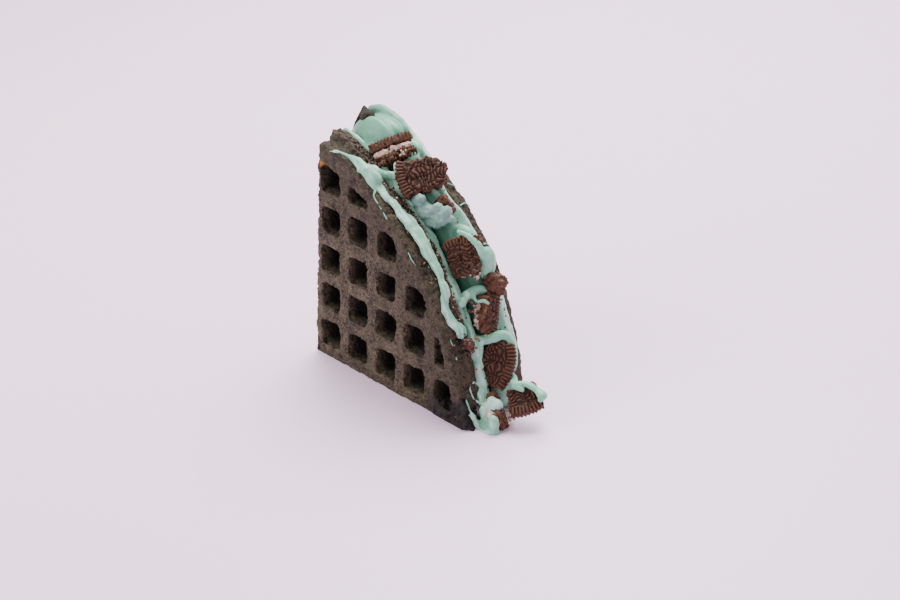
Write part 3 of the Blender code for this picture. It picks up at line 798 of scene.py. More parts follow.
# Star of cream that runs over the front plate's rim, laid on it as seen from the front: runs of
# (x, y, z, radius), as in the ropes below
STAR = [
    [(9.6, -0.3, 93.7, 0.5), (13.7, -0.5, 95, 0.8), (17.5, -0.5, 95.3, 1), (22.4, -0.4, 94.9, 1.3),
     (26.7, 0, 93.6, 1.9), (30.5, 0.4, 91.6, 2.9)],
    [(26.4, -0.3, 90.4, 0.7), (29.5, 0.2, 91.2, 1.6)],
    [(30.5, 0.3, 91.6, 2.6), (33.5, 0.5, 88, 2.2), (35.2, 0.4, 85.9, 1.3)],
    [(31, 1.5, 91.8, 2.9), (33.5, 5.5, 89.8, 2.6), (34, 9.5, 88.5, 2.2), (33.5, 13, 87.2, 1.8)],
    [(32.6, 0.8, 90.6, 3), (34.4, 2.6, 88.6, 2.8)],
]
ROPES = [
    # Ridge over the back plate's rim
    {"uneven": 0.15, "points": [
        (1.5, 28, 104, 1.5), (5.5, 29.5, 104.5, 2.1), (10.5, 30, 103.5, 2.2), (15.5, 30.3, 101.9, 2.2),
        (20.5, 30.5, 99.6, 2.1), (26, 30.6, 96.4, 2), (32, 30.6, 92.6, 1.8), (38, 30.2, 88.8, 1.5),
        (44, 30, 84.6, 1.2)]},
    # Lips round the cookie pieces
    {"points": [
        (34.2, 13.2, 92.3, 0.9), (35.9, 12.3, 90, 1.1), (38, 11.6, 87.4, 0.9)]},
    {"points": [
        (66.4, 18, 72.2, 0.9), (69.3, 19.2, 71.5, 1.2), (72.3, 20.1, 70.1, 1.4), (74.8, 20.8, 68.2, 1.5),
        (76.4, 20.9, 65.2, 1.4)]},
    {"points": [
        (76.2, 11.5, 46.4, 1.7), (75.2, 15.2, 48.4, 2.1), (76, 18.6, 50, 2.1), (77.2, 21.8, 50, 1.8),
        (78.6, 24.9, 48.2, 1.3), (80, 26.4, 45.6, 0.8)]},
    {"points": [
        (77.6, 16.6, 48.6, 1), (79.8, 16.2, 47.2, 0.9), (81.6, 17.6, 48, 0.9), (83.6, 18.8, 47.2, 0.7)]},
    {"points": [
        (81.7, 14, 31.4, 2), (84.3, 16.7, 32.4, 2.2), (87.2, 19.5, 33.6, 2.3), (89.6, 22.3, 34.6, 2.3),
        (91.8, 23.5, 32.6, 1.8), (93.6, 23.9, 29.2, 1.6), (94.8, 23.6, 25, 1.4), (95, 23, 21, 1.2)]},
    {"points": [
        (82.4, 13.9, 31, 2.5), (83.8, 13.6, 27.4, 2.6), (85, 12.8, 23.4, 2.5), (86.8, 12.3, 19.4, 2.5),
        (88.8, 12.3, 15.8, 2.4)]},
    # Stem behind the foot, and what it leaves on the floor
    {"points": [
        (90.8, 23.6, 16.5, 2.6), (92, 24.6, 10.3, 2.6), (92.8, 25.6, 4.5, 2.4), (93, 25.6, 1, 2.6)]},
    {"squash": (1, 1, 0.7), "points": [
        (91.5, 12.5, 2, 2.6), (94, 14, 1.6, 2.4), (96, 16, 1.6, 1.6)]},
    # Pale blade along the back plate's rim
    {"squash": (0.7, 1, 1), "points": [
        (79.4, 30.8, 46.5, 0.6), (82.6, 30.2, 39.2, 0.9), (85.2, 30.8, 32.6, 1), (87, 31.6, 27.6, 0.9),
        (88.8, 30, 21.9, 1)]},
    {"squash": (0.7, 0.8, 1), "points": [
        (69.5, 26.4, 60.5, 2.2), (73.4, 28, 55, 2.1), (76.6, 28.6, 49, 1.5)]},
]
# Runs on the front plate's rim: angle round it, depth, lift above it, radius
RIM_ROPES = [
    [(27, 12.8, 0.2, 1.9), (22, 12.9, 0.4, 2.2), (18, 12.8, 0.4, 2.2), (14.2, 12.8, 0.3, 2.1),
     (12, 13.2, 0.4, 2.1), (9.5, 13.6, 0.4, 2.2), (7, 13.2, 0.4, 2.3), (5.8, 12.8, 0.3, 2.3)],
    [(15.6, 6.8, 0.1, 0.4), (15.2, 8.4, 0.1, 0.5), (13.8, 10.2, 0.1, 0.6), (12, 11.2, 0.1, 0.8),
     (10.6, 11, 0.2, 1.1), (9.2, 9.9, 0.3, 1.3), (7.6, 10.4, 0.3, 1.3), (6.4, 11.2, 0.2, 1.4)],
    [(15.6, 6.8, 0.1, 0.4), (14.6, 5.4, 0.1, 0.4), (12.8, 5.2, 0.1, 0.45), (11.2, 6.6, 0.1, 0.5),
     (10.2, 8.4, 0.2, 0.8), (9.2, 9.9, 0.3, 1.2)],
    [(12.4, 2.2, 0.2, 0.35), (10.8, 2.6, 0.3, 0.55), (9.5, 3.2, 0.3, 0.75), (8.3, 4.2, 0.3, 0.95),
     (7.2, 5.2, 0.3, 1.3), (6.1, 6, 0.1, 1.5)],
    [(9.2, 1.4, 0.2, 0.35), (8.2, 3, 0.3, 0.65), (7.4, 4.6, 0.3, 1)],
    [(9.9, 5.8, 0.2, 0.35), (8.7, 5.3, 0.3, 0.65), (7.4, 5.2, 0.3, 0.9)],
    [(10.4, 7.6, 0.2, 0.4), (9.2, 7.9, 0.3, 0.6), (7.8, 8.4, 0.3, 0.8), (6.4, 9.6, 0.2, 1.1)],
]


FURROW_WALL = [(-22.0, 15.2), (-12.0, 15.0), (-5.0, 14.6), (-1.6, 13.4), (-0.3, 14.2), (-1.4, 15.6),
               (-5.0, 16.4), (-9.5, 17.3), (-9.8, 18.4)]


def furrow_section(turn):
    """Closed (out, y) section of the cream that lines the furrow and coats the back plate's rim."""
    edge, = table(COAT_EDGE, turn)
    low = -7.0 * ramp(turn, 76.0, 84.0)
    coat = [(-5.6, 19.1), (-1.6, 20.1), (0.1, 22.2), (1.0, 25.4), (1.8, edge - 3.1), (2.4, edge - 1.6),
            (1.3, edge - 0.5), (-1.2, edge - 0.2), (-3.0, edge - 2.0), (-4.0, 24.0), (-8.0, 21.6)]
    return [*FURROW_WALL, *((out + low, y) for out, y in coat), (-22.0, 20.8)]


def furrow(bm):
    """The lining, spun as a ring whose section follows the tables, then cut to the quarter."""
    ring = bmesh.new()
    section = furrow_section(45)
    verts = [ring.verts.new((RIM_RADIUS + out, y, 0.0)) for out, y in section]
    edges = [ring.edges.new(pair) for pair in zip(verts, verts[1:] + verts[:1])]
    bmesh.ops.spin(ring, geom=verts + edges, cent=(0, 0, 0), axis=(0, 1, 0), angle=math.tau,
                   steps=360, use_merge=True, use_duplicate=False)
    bmesh.ops.recalc_face_normals(ring, faces=ring.faces[:])
    for vert in ring.verts:
        radius = math.hypot(vert.co.x, vert.co.z)
        turn = turn_of(vert.co)
        k = min(range(len(section)), key=lambda n: math.hypot(RIM_RADIUS + section[n][0] - radius,
                                                              section[n][1] - vert.co.y))
        out, y = furrow_section(turn)[k]
        if 2 < k < 17:
            out += layered(rim_point(turn, out, y), (0.6, 11.0, 3.0), (0.2, 4.5, 5.0))
        vert.co = rim_point(turn, out, y)
    cut_straight(ring, *side_cut(0.8))
    poured(ring, bm)


def front_rim(turn, y):
    """How far the front plate's rim stands outside its circle."""
    outs, depths = zip(*RIM_SECTION)
    return float(np.interp(y, depths, outs)) + rim_rise(FRONT, arm_at(turn), y)


def laid(point, lift):
    """Slide a point straight away from the camera until it lies on the front plate, rim or face."""
    spot = Vector(point)
    while True:
        arm = in_plane(spot) - centre_at(spot.y)
        if arm.length <= RIM_RADIUS + front_rim(turn_of(arm), spot.y) + lift or spot.y > 12.0:
            return spot
        spot -= TO_CAMERA * 0.2


def strip(bm, rows, out, tall, seed):
    """A long bead of cream along the rim, which swells and thins."""
    turn = rows[0][0]
    while turn > rows[-1][0]:
        y, half = table(rows, turn)
        spot = rim_point(turn, out, y)
        swell = 0.97 + 0.34 * wander(spot, 8.0, seed) + 0.12 * wander(spot, 3.2, seed)
        stand = front_rim(turn, y) + out + 0.3 * wander(spot, 6.0, seed + 2)
        at = rim_point(turn, stand, y + 0.5 * wander(spot, 4.0, seed + 4))
        bead(bm, at, (tall * swell, half * swell, 1.5), Matrix.Rotation(-math.radians(turn), 4, "Y"))
        turn -= 0.45


def cream_body(settings, look):
    bm = bmesh.new()
    furrow(bm)
    strip(bm, STRIP_ONE, 0.1, 0.9, 11.0)
    strip(bm, STRIP_TWO, 0.2, 1.2, 13.0)
    for at, radii in BLOBS:
        bead(bm, at, radii, detail=4)
    for points in STAR:
        rope(bm, [(*laid(p[:3], 0.2 * p[3]), p[3]) for p in points], squash=(1.0, 0.85, 1.0), uneven=0.3)
    for path in ROPES:
        rope(bm, **{"uneven": 0.3, **path})
    for run in RIM_ROPES:
        laid_on = [(*rim_point(turn, front_rim(turn, y) + lift, y), radius) for turn, y, lift, radius in run]
        rope(bm, laid_on, 0.5, uneven=0.35)
    bm = opened(remeshed(bm, "cream_body", settings.voxel / MM, 4))
    cut_straight(bm, *floor_cut(0.05))
    mesh = to_mesh(bm, "cream_body")

    def along(point):
        """Noise drawn out along the rim."""
        turn = math.atan2(point.z - BACK_CENTRE[1], point.x - BACK_CENTRE[0])
        return noise.noise(Vector((turn * RIM_RADIUS / 9.0, point.y / 0.95, 4.0)))

    def sag(point, normal):
        calm = max(0.9 * ramp(30.0 - point.x, 0.0, 8.0) * ramp(point.y, 15.5, 18.0),
                   0.8 * ramp(point.y, 17.5, 20.0) * ramp(29.0 - point.y, 0.0, 2.0))
        ridge = 0.45 * along(point) * (1.0 - ramp(point.y, 15.5, 17.0))
        return (1.0 - calm) * (layered(point, (0.30, 4.6, 6.0), (0.13, 1.5, 8.0)) + ridge)

    # Painted shade: darkest inside the furrow and on its wall, and the dome's lit top is darkened too.
    def depth(point, normal):
        out = (in_plane(point) - centre_at(point.y)).length - RIM_RADIUS
        inside = ramp(point.y, 14.2, 16.0) * (1.0 - ramp(point.y, 20.2, 23.5))
        wall = 0.55 * ramp(point.y, 17.0, 20.0) * (1.0 - ramp(point.y, 24.0, 29.0))
        wall *= 1.0 - ramp(out, 1.0, 3.0)
        dome = ramp(30.0 - point.x, 0.0, 6.0) * ramp(point.y, 15.5, 18.0)
        dome_top_shade = 0.42 * dome * ramp(point.z, 90.5, 97.0)
        return max(inside * ramp(-out, 1.5, 8.0), wall, dome_top_shade)

    def pale_share(point, normal):
        turn = turn_of(point - middle_of(BACK))
        edge, = table(COAT_EDGE, turn)
        share = ramp(point.y, edge - 3.2, edge - 1.4)
        share = max(share, 0.8 * (1.0 - ramp((point - Vector((99.0, 9.5, 10.5))).length, 3.0, 6.0)))
        for rows in (STRIP_ONE, STRIP_TWO):
            y, half = table(rows, turn)
            beside = abs(point.y - y) / half
            if beside < 1.6:
                edges = 0.9 * ramp(beside, 0.35, 0.9) * ramp(wander(point, 4.5, 71.0), -0.15, 0.35)
                share = max(share, edges, 0.8 * ramp(along(point), 0.05, 0.32))
        return share

    displaced(mesh, sag)
    painted(mesh, "deep", depth)
    painted(mesh, "pale", pale_share)
    return finished("cream_body", mesh, look, "mint_cream", ["mint_cream"])


def cream_layer(look):
    """The flat layer between the plates, which shows along the upright cut."""
    profile = [(0.0, PLATE_THICK - 0.25), (RIM_RADIUS - 14, PLATE_THICK - 0.25),
               (RIM_RADIUS - 14, PLATE_THICK + GAP + 0.25), (0.0, PLATE_THICK + GAP + 0.25)]
    bm = spun(profile, 120)
    bm.transform(Matrix.Translation((FRONT_CENTRE[0], 0.0, FRONT_CENTRE[1])))
    cut_straight(bm, *side_cut(0.4))
    cut_straight(bm, *floor_cut(0.1))
    mesh = remeshed(bm, "cream_layer", 0.9, 1)

    def bulge(point, normal):
        near = 1.0 - ramp(point.x, 1.5, 5.0)
        return near * (layered(point, (0.45, 5.0, 2.0), (0.25, 2.2, 4.0)) - 0.3)

    displaced(mesh, bulge)
    return finished("cream_layer", mesh, look, "mint_cream", ["mint_cream"])


# Thin strings on the front face, laid on it as seen from the front, and on the back plate's rim
THREADS = [
    [(35.2, -0.1, 86.6, 0.25), (36.8, -0.2, 84.9, 0.45), (36.3, -0.2, 82.6, 0.3), (38.7, -0.2, 80.3, 0.38),
     (41.7, -0.2, 77.8, 0.34), (44.2, -0.2, 75.4, 0.22)],
    [(56.2, 0, 66.2, 0.14), (58.2, -0.1, 63.9, 0.36), (59.4, -0.1, 62.6, 0.22), (62.2, 0, 60.6, 0.14)],
    [(68.4, 0, 63.6, 0.14), (69.6, 0, 62, 0.2)],
    [(82.3, 0, 37.2, 0.16), (82.7, -0.1, 36, 0.44), (83.8, 0, 34.6, 0.16)],
    [(85.8, 0, 30.4, 0.2), (86.1, 0, 29.6, 0.38)],
]
BACK_THREADS = [
    [(43.8, 29.6, 83.9, 0.3), (45.2, 32.2, 82.6, 0.28), (46.4, 34.6, 81.4, 0.2)],
    [(54.4, 30, 76.6, 0.35), (53.8, 33.4, 76.6, 0.26), (55.2, 34.6, 75.2, 0.22)],
    [(67, 31.4, 63.6, 0.4), (66.9, 34, 62.8, 0.28), (69, 34.4, 60.6, 0.22)],
]
# Thin smears on the lowest wafer: centre and half sizes
SMEARS = [
    ((89.6, 15.9, 22.6), (1.3, 0.5, 1.7)), ((91.2, 16.2, 20.8), (0.9, 0.5, 1)),
    ((88.2, 16.4, 24.4), (0.6, 0.4, 0.7)),
]


def cream_threads(look):
    bm = bmesh.new()
    for points in THREADS:
        rope(bm, [(*laid(p[:3], 0.1), p[3]) for p in points], 0.15, (0.9, 0.9, 0.9), 0.7)
    for points in BACK_THREADS:
        rope(bm, points, 0.15)
    for at, radii in SMEARS:
        bead(bm, at, radii, detail=3)
    mesh = remeshed(bm, "cream_threads", 0.14, 1)
    displaced(mesh, lambda p, n: 0.14 * wander(p, 1.1, 3.0) if p.x > 86 else 0.0)
    return finished("cream_threads", mesh, look, "mint_cream")


# The lick's middle line, and the fold on its top: runs of (x, y, z, radius)
TONGUE = [
    (92.5, 24, 17, 2), (96.5, 21.5, 18, 1.8), (100.2, 18.8, 18.5, 1.4), (101.9, 20, 18.8, 1.3),
    (103.7, 21.5, 18.7, 1.4), (106.1, 22.5, 18.1, 1.5), (108.7, 23.2, 17, 1.6), (110.8, 23.4, 15.8, 1.5),
    (111.2, 22.2, 14.4, 1.1),
]
TONGUE_FOLD = [(100.4, 18, 17.6, 1.1), (102, 18.7, 17.4, 1.3), (103.6, 19.4, 16.8, 1)]


def cream_tongue(look):
    """The folded lick of cream over the lowest piece of cookie."""
    bm = bmesh.new()
    rope(bm, TONGUE, 0.6, (1.0, 1.2, 0.8), 0.4)
    rope(bm, TONGUE_FOLD, 0.6)
    mesh = remeshed(bm, "cream_tongue", 0.3, 4)
    displaced(mesh, lambda p, n: 0.2 * wander(p, 3.0, 1.0))
    return finished("cream_tongue", mesh, look, "mint_cream")


# The pale lump: centre and half sizes of its parts
GLOB = [
    ((46.2, 15, 79.6), (3.3, 2.6, 3)), ((49.6, 16, 75.6), (5.2, 3.2, 4.2)),
    ((48, 14.2, 81.6), (2.4, 2, 1.8)), ((56, 17, 75), (5, 3, 3.2)), ((55.4, 16.6, 79), (1.9, 2.2, 2.3)),
    ((59, 18, 78.6), (2.1, 2.2, 2.2)), ((54.4, 15, 72.4), (4.4, 2.4, 1.5)),
    ((61, 18.6, 75.6), (1.8, 1.8, 1.6)), ((52.4, 15.6, 77.6), (3.6, 2.4, 2.2)),
    ((57.4, 17.2, 77), (3.2, 2.4, 2.4)),
]


def cream_glob(look):
    """The pale half melted lump above the furrow."""
    bm = bmesh.new()
    for at, radii in GLOB:
        bead(bm, at, radii, detail=3)
    mesh = remeshed(bm, "cream_glob", 0.3, 16)

    def torn(point, normal):
        creases = abs(wander(point, 2.6, 9.0)) + 0.6 * abs(wander(point, 1.3, 12.0))
        return 0.35 + 0.45 * wander(point, 3.4, 3.0) - 0.75 * creases + 0.12 * wander(point, 0.8, 5.0)

    displaced(mesh, torn)
    # Painted shade: the glob's lower part takes the deep mint of the furrow's shade.
    painted(mesh, "deep", lambda p, n: 0.5 * ramp(75.5 - p.z, 0.0, 3.0))
    return finished("cream_glob", mesh, look, "mint_cream")


# Cookie pieces
#
# Places and radii are in millimetres, span and spin in degrees. Reach is how far the piece runs in from
# its rim, and facing is the way that its pressed face looks.

PIECES = [
    {"name": "cookie_a", "at": (23.1, 21.2, 93.6), "facing": (-0.69, 0.16, 0.70), "spin": 151, "span": 48,
     "reach": 12.0, "breaks": 9, "seed": 3, "layers": ("top", "filling", "bottom")},
    {"name": "cookie_b", "at": (42.0, 20.5, 87.5), "facing": (0.60, -0.48, 0.64), "spin": -75, "span": 42,
     "reach": 22.0, "breaks": 10, "seed": 7, "layers": ("top",)},
    {"name": "cookie_d", "at": (69.5, 19.5, 62.5), "facing": (0.42, -0.84, 0.34), "spin": 200, "span": 40,
     "reach": 17.0, "breaks": 9, "seed": 11, "layers": ("top", "filling")},
    {"name": "cookie_f", "at": (80.8, 20.2, 41.6), "facing": (0.93, 0.25, 0.25), "spin": 60, "span": 44,
     "reach": 11.0, "breaks": 9, "seed": 15, "layers": ("top", "filling")},
    {"name": "cookie_g", "at": (90.0, 19.5, 22.5), "facing": (0.50, -0.78, 0.38), "spin": 82, "span": 52,
     "reach": 14.5, "breaks": 9, "seed": 19, "layers": ("top", "filling")},
    {"name": "cookie_h", "at": (96.5, 11.0, 7.0), "facing": (0.55, 0.70, 0.40), "spin": 30, "span": 40,
     "reach": 9.0, "breaks": 8, "seed": 23, "layers": ("top", "filling")},
    {"name": "cookie_i", "at": (104.0, 20.6, 11.2), "facing": (0.42, -0.55, 0.72), "spin": 24, "span": 38,
     "reach": 13.0, "breaks": 9, "seed": 27, "layers": ("top",)},
]
CRUMBS = [
    {"name": "cookie_c_crumb", "at": (54.0, 22.5, 79.0), "radii": (4.6, 3.6, 4.4), "seed": 31},
    {"name": "cookie_e_crumb", "at": (80.4, 26.4, 52.4), "radii": (6.4, 4.6, 4.8), "seed": 35},
    {"name": "cookie_j_crumb", "at": (85.0, 8.0, 33.5), "radii": (2.6, 1.9, 3.0), "seed": 39},
]


def placement(piece):
    spin = Matrix.Rotation(math.radians(piece["spin"]), 4, "Z")
    return Matrix.Translation(Vector(piece["at"])) @ aimed(piece["facing"]) @ spin


def broken_outline(piece, radius, toothed):
    """Rim arc of the piece, with teeth on a wafer, then a jagged blunt break back to the start."""
    rng = random.Random(piece["seed"])
    span = math.radians(piece["span"])
    start = -math.pi / 2 - span / 2
    step = math.tau / TOOTH_COUNT / 4 if toothed else math.radians(8)
    count = max(3, round(span / step))
    points = []
    for k in range(count + 1):
        angle = start + span * k / count
        reach = radius - (TOOTH_DEEP * (0.0, 0.55, 1.0, 0.55)[k % 4] if toothed else 0.0)
        points.append((reach * math.cos(angle), reach * math.sin(angle)))
    half = radius * math.sin(span / 2)
    foot = -radius * math.cos(span / 2)
    rise = piece["reach"] - (radius + foot)
    torn = []
    for k in range(1, piece["breaks"]):
        turn = math.pi * k / piece["breaks"]
        across = math.copysign(abs(math.cos(turn)) ** 0.6, math.cos(turn))
        ragged = rng.uniform(0.86, 1.06)
        torn.append((half * across * ragged, foot + rise * math.sin(turn) ** 0.6 * ragged))
    loop = [points[-1]] + torn + [points[0]]
    for (ax, ay), (bx, by) in zip(loop, loop[1:]):
        for t in (0.33, 0.67):
            points.append((ax + (bx - ax) * t + rng.uniform(-0.5, 0.5),
                           ay + (by - ay) * t + rng.uniform(-0.5, 0.5)))
        points.append((bx, by))
    middle = radius - piece["reach"] / 2
    return [(x, y + middle) for x, y in points[:-1]], middle


def slab(outline, levels, rng, ragged):
    """Stack copies of an outline at (height, inset) levels; ragged points wander level by level."""
    bm = bmesh.new()
    face = bm.faces.new([bm.verts.new((x, y, 0.0)) for x, y in outline])
    for level, (height, inset) in enumerate(levels):
        if level:
            face = extrude_on(bm, face)
        for vert, (x, y) in zip(face.verts, outline):
            scale = 1.0 - inset / max(math.hypot(x, y), 4)
            loose = ragged if y > outline[0][1] else 0.0
            vert.co = (x * scale + rng.uniform(-loose, loose), y * scale + rng.uniform(-loose, loose), height)
    bmesh.ops.recalc_face_normals(bm, faces=bm.faces[:])
    return bm


def pressed_bars(x, y, seed):
    """Height of the pressed face, 0 in the hollows to 1 on a bar: radial bars at the rim, dashes within."""
    if math.hypot(x, y) > RIM_BARS_FROM:
        return ramp(abs(math.sin(math.atan2(y, x) * TOOTH_COUNT / 2)), 0.2, 0.8)
    bent = Vector((x, y, seed))
    x += BAR_WARP * noise.noise(bent / BAR_WARP_WIDE)
    y += BAR_WARP * noise.noise(bent / BAR_WARP_WIDE + Vector((5.0, 0.0, 0.0)))
    radius, angle = math.hypot(x, y), math.atan2(y, x)
    ring = math.floor(radius / BAR_PITCH)
    within = abs(2 * (radius / BAR_PITCH - ring) - 1)
    along = angle * (ring + 0.5) * BAR_PITCH / BAR_LONG + 0.37 * ring * ring + 0.25 * math.sin(3 * ring)
    part = abs(2 * (along - math.floor(along)) - 1)
    return (1.0 - ramp(within, 0.25, 0.85)) * (1.0 - ramp(part, 0.68, 0.96))


def wafer(piece, layer, settings, look):
    """One broken wafer, pressed on its outer face and torn along its break."""
    outline, middle = broken_outline(piece, COOKIE_RADIUS, True)
    levels = [(0.0, 0.3), (0.5, 0.0), (2.9, 0.0), (3.5, 0.35), (WAFER_THICK, 1.0)]
    bm = slab(outline, levels, random.Random(piece["seed"] + 1), 0.3)
    mesh = remeshed(bm, piece["name"], settings.voxel / MM, 1)
    relief = settings.relief / MM
    rim_foot = outline[0][1]

    def bars(point):
        return pressed_bars(point.x, point.y - middle, piece["seed"])

    def torn(point, normal):
        broken = ramp(point.y, rim_foot + 0.3, rim_foot + 1.5)
        side = 1.0 - ramp(abs(normal.z), 0.45, 0.8)
        under = ramp(-normal.z, 0.5, 0.9)
        return broken * max(side, under)

    def height(point, normal):
        rough = layered(point, (0.16, 0.9, 2.0), (0.22, 2.5, 4.0))
        rough -= 0.7 * ramp(wander(point, 2.2, 12.0), 0.28, 0.6)
        if normal.z > 0.5:
            return rough + relief * (bars(point) - 0.75)
        ragged = layered(point, (1.1, 2.6, 5.0), (0.7, 1.3, 7.0), (0.35, 0.7, 9.0))
        if layer == "bottom":
            return rough + 1.8 * ragged
        return rough + torn(point, normal) * ragged

    # Painted shade: darkest between the pressed bars, and a little darker on the sides.
    def hollow_shade_and_dark_patches(point, normal):
        return 0.15 if normal.z < 0.5 else 0.85 * (1.0 - bars(point))

    painted(mesh, "hollow_shade_and_dark_patches", hollow_shade_and_dark_patches)
    painted(mesh, "torn", (lambda p, n: 0.7) if layer == "bottom" else torn)
    displaced(mesh, height)
    if layer == "bottom":
        mesh.transform(Matrix.Translation((0.0, 0.0, -FILLING_THICK)) @ Matrix.Rotation(math.pi, 4, "Y"))
    mesh.transform(placement(piece))
    name = f"{piece['name']}_{layer}_wafer"
    return finished(name + "_pressed", mesh, look, "cookie_wafer", [name])


def filling(piece, look):
    thinner = dict(piece, breaks=max(5, piece["breaks"] - 2), reach=piece["reach"] - 1.5)
    outline = broken_outline(thinner, COOKIE_RADIUS - FILLING_INSET, False)[0]
    levels = [(0.1 - FILLING_THICK, 0.4), (-1.5, 0.0), (-0.1, 0.4)]
    bm = slab(outline, levels, random.Random(piece["seed"] + 2), 0.4)
    mesh = remeshed(bm, piece["name"], 0.32, 1)
    displaced(mesh, lambda p, n: layered(p, (1.1, 2.4, 1.0), (0.6, 1.0, 3.0)) - 0.2)
    mesh.transform(placement(piece))
    name = piece["name"] + "_filling"
    return finished(name + "_broken", mesh, look, "cookie_filling", [name])


def lump(piece, look):
    """A rough broken crumb without a pressed face."""
    bm = bmesh.new()
    rng = random.Random(piece["seed"])
    at, radii = Vector(piece["at"]), Vector(piece["radii"])
    for k in range(7):
        off = Vector([rng.uniform(-0.42, 0.42) * r for r in radii])
        bead(bm, at + off, [r * rng.uniform(0.45, 0.68) for r in radii], detail=3)
    mesh = remeshed(bm, piece["name"], 0.27, 1)
    displaced(mesh, lambda p, n: layered(p, (0.75, 1.9, 1.0), (0.4, 0.8, 3.0)))
    # Random dark patches on the rough crumb, through the same attribute as the wafers' painted shade.
    painted(mesh, "hollow_shade_and_dark_patches", lambda p, n: ramp(wander(p, 1.4, 6.0), 0.0, 0.5))
    painted(mesh, "torn", lambda p, n: 0.9)
    return finished(piece["name"] + "_rough", mesh, look, "cookie_wafer", [piece["name"]])


# Small loose things: crumbs in the crevice, on the rim and at the foot

DARK_HEAPS = [
    (94.5, 14, 2), (88, 6, 2), (84, 9, 33), (76.5, 17.5, 59),
]
DARK_DUST = [
    (27.3, 17.9, 94.7), (23.5, 16.5, 91.5), (80, 15, 45),
]
PALE_HEAPS = [
    (88.5, 17, 13.5), (92, 17, 14.5), (76.5, 18.2, 56.5), (85, 18, 34.5), (100.5, 15, 4), (31, 18.6, 94.6),
]
PALE_SPILL = (101.4, 15.0, 5.2)
TOAST_HEAPS = [
    (84.5, 8, 33.5), (86, 2, 1.5), (80, 27, 52),
]


def triple(draw, *limits):
    """A vector of three random draws."""
    return Vector([draw(*limits) for k in range(3)])


def fine_crumbs(name, spots, look, slot, seed):
    """One rough grain at each (place, size) that lies above the floor, all as one piece."""
    bm = bmesh.new()
    rng = random.Random(seed)
    for at, size in spots:
        if not above_floor(at, size):
            continue
        turn = Matrix.Rotation(rng.uniform(0, math.tau), 4, triple(rng.uniform, -1, 1).normalized())
        bead(bm, at, [size * rng.uniform(0.6, 1.25) for k in range(3)], turn, 1)
    for vert in bm.verts:
        vert.co += triple(rng.uniform, -0.06, 0.06)
    return finished(name, to_mesh(bm, name), look, slot)


def scattered(rng, count, place, size):
    return [(place(rng), rng.uniform(*size)) for k in range(count)]


def in_crevice(rng):
    """Between the two strips of cream on the front plate's rim."""
    turn = rng.uniform(28.0, 70.0)
    y_one, half_one = table(STRIP_ONE, min(turn, 66.0))
    y_two, half_two = table(STRIP_TWO, turn)
    y = rng.uniform(y_one + 0.75 * half_one, y_two - 0.5 * half_two)
    return rim_point(turn, front_rim(turn, y) + rng.uniform(-0.2, 0.5), y)


def on_crest(rng):
    """In the groove below the line of cream at the top of the front plate."""
    turn, y = rng.uniform(69.0, 82.0), rng.uniform(8.5, 12.6)
    return rim_point(turn, front_rim(turn, y) + rng.uniform(-0.3, 0.4), y)


def on_rim(rng):
    return rim_point(rng.uniform(12, 75), 0.9 + rng.uniform(-0.2, 0.4), rng.uniform(1.0, 11.0))


def on_coat(rng):
    """On the cream that coats the back plate's rim."""
    turn = rng.uniform(14.0, 78.0)
    edge, = table(COAT_EDGE, turn)
    y = rng.uniform(22.5, edge - 1.3)
    out = float(np.interp(y, [22.2, 25.4, edge - 2.9, edge - 1.2], [0.1, 1.0, 2.0, 2.9]))
    return rim_point(turn, out, y)


def gathered(rng, count, places, spread, size):
    """Crumbs round each of the places."""
    return [(Vector(at) + triple(rng.gauss, 0.0, spread), rng.uniform(*size))
            for at in places for k in range(count)]


def above_floor(at, size):
    """Whether a crumb lies above the floor and behind the front face."""
    point, up = floor_cut()
    return (at - point).dot(up) > 1.2 * size and at.y > 0.8


# Operators: one for each piece or group of like pieces, and one for the stage

class WAFFLE_OT_plates(bpy.types.Operator):
    """Bake the two quarter plates of waffle"""
    bl_idname = "waffle.plates"
    bl_label = "Waffle plates"

    def execute(self, context):
        settings = context.scene.waffle_settings
        look = waffle_look(settings)
        waffle_plate("waffle_front_plate", FRONT, settings, look)
        waffle_plate("waffle_back_plate", BACK, settings, look)
        return {"FINISHED"}


class WAFFLE_OT_cream(bpy.types.Operator):
    """Fill the sandwich with mint cream, which laps over the curved edge"""
    bl_idname = "waffle.cream"
    bl_label = "Mint cream"

    def execute(self, context):
        settings = context.scene.cream_settings
        look = cream_look(settings)
        cream_body(settings, look)
        cream_layer(look)
        cream_threads(look)
        cream_tongue(look)
        cream_glob(cream_look(settings, "pale_cream_look", True))
        return {"FINISHED"}


class WAFFLE_OT_wafers(bpy.types.Operator):
    """Break the cookie wafers and press their faces"""
    bl_idname = "waffle.wafers"
    bl_label = "Cookie wafers"

    def execute(self, context):
        settings = context.scene.cookie_settings
        look = wafer_look(settings)
        for piece in PIECES:
            for layer in piece["layers"]:
                if layer != "filling":
                    wafer(piece, layer, settings, look)
        for piece in CRUMBS:
            lump(piece, look)
        return {"FINISHED"}


class WAFFLE_OT_fillings(bpy.types.Operator):
    """Lay the cookies' pale filling under their wafers"""
    bl_idname = "waffle.fillings"
    bl_label = "Cookie fillings"

    def execute(self, context):
        look = filling_look(context.scene.cookie_settings)
        for piece in PIECES:
            if "filling" in piece["layers"]:
                filling(piece, look)
        return {"FINISHED"}


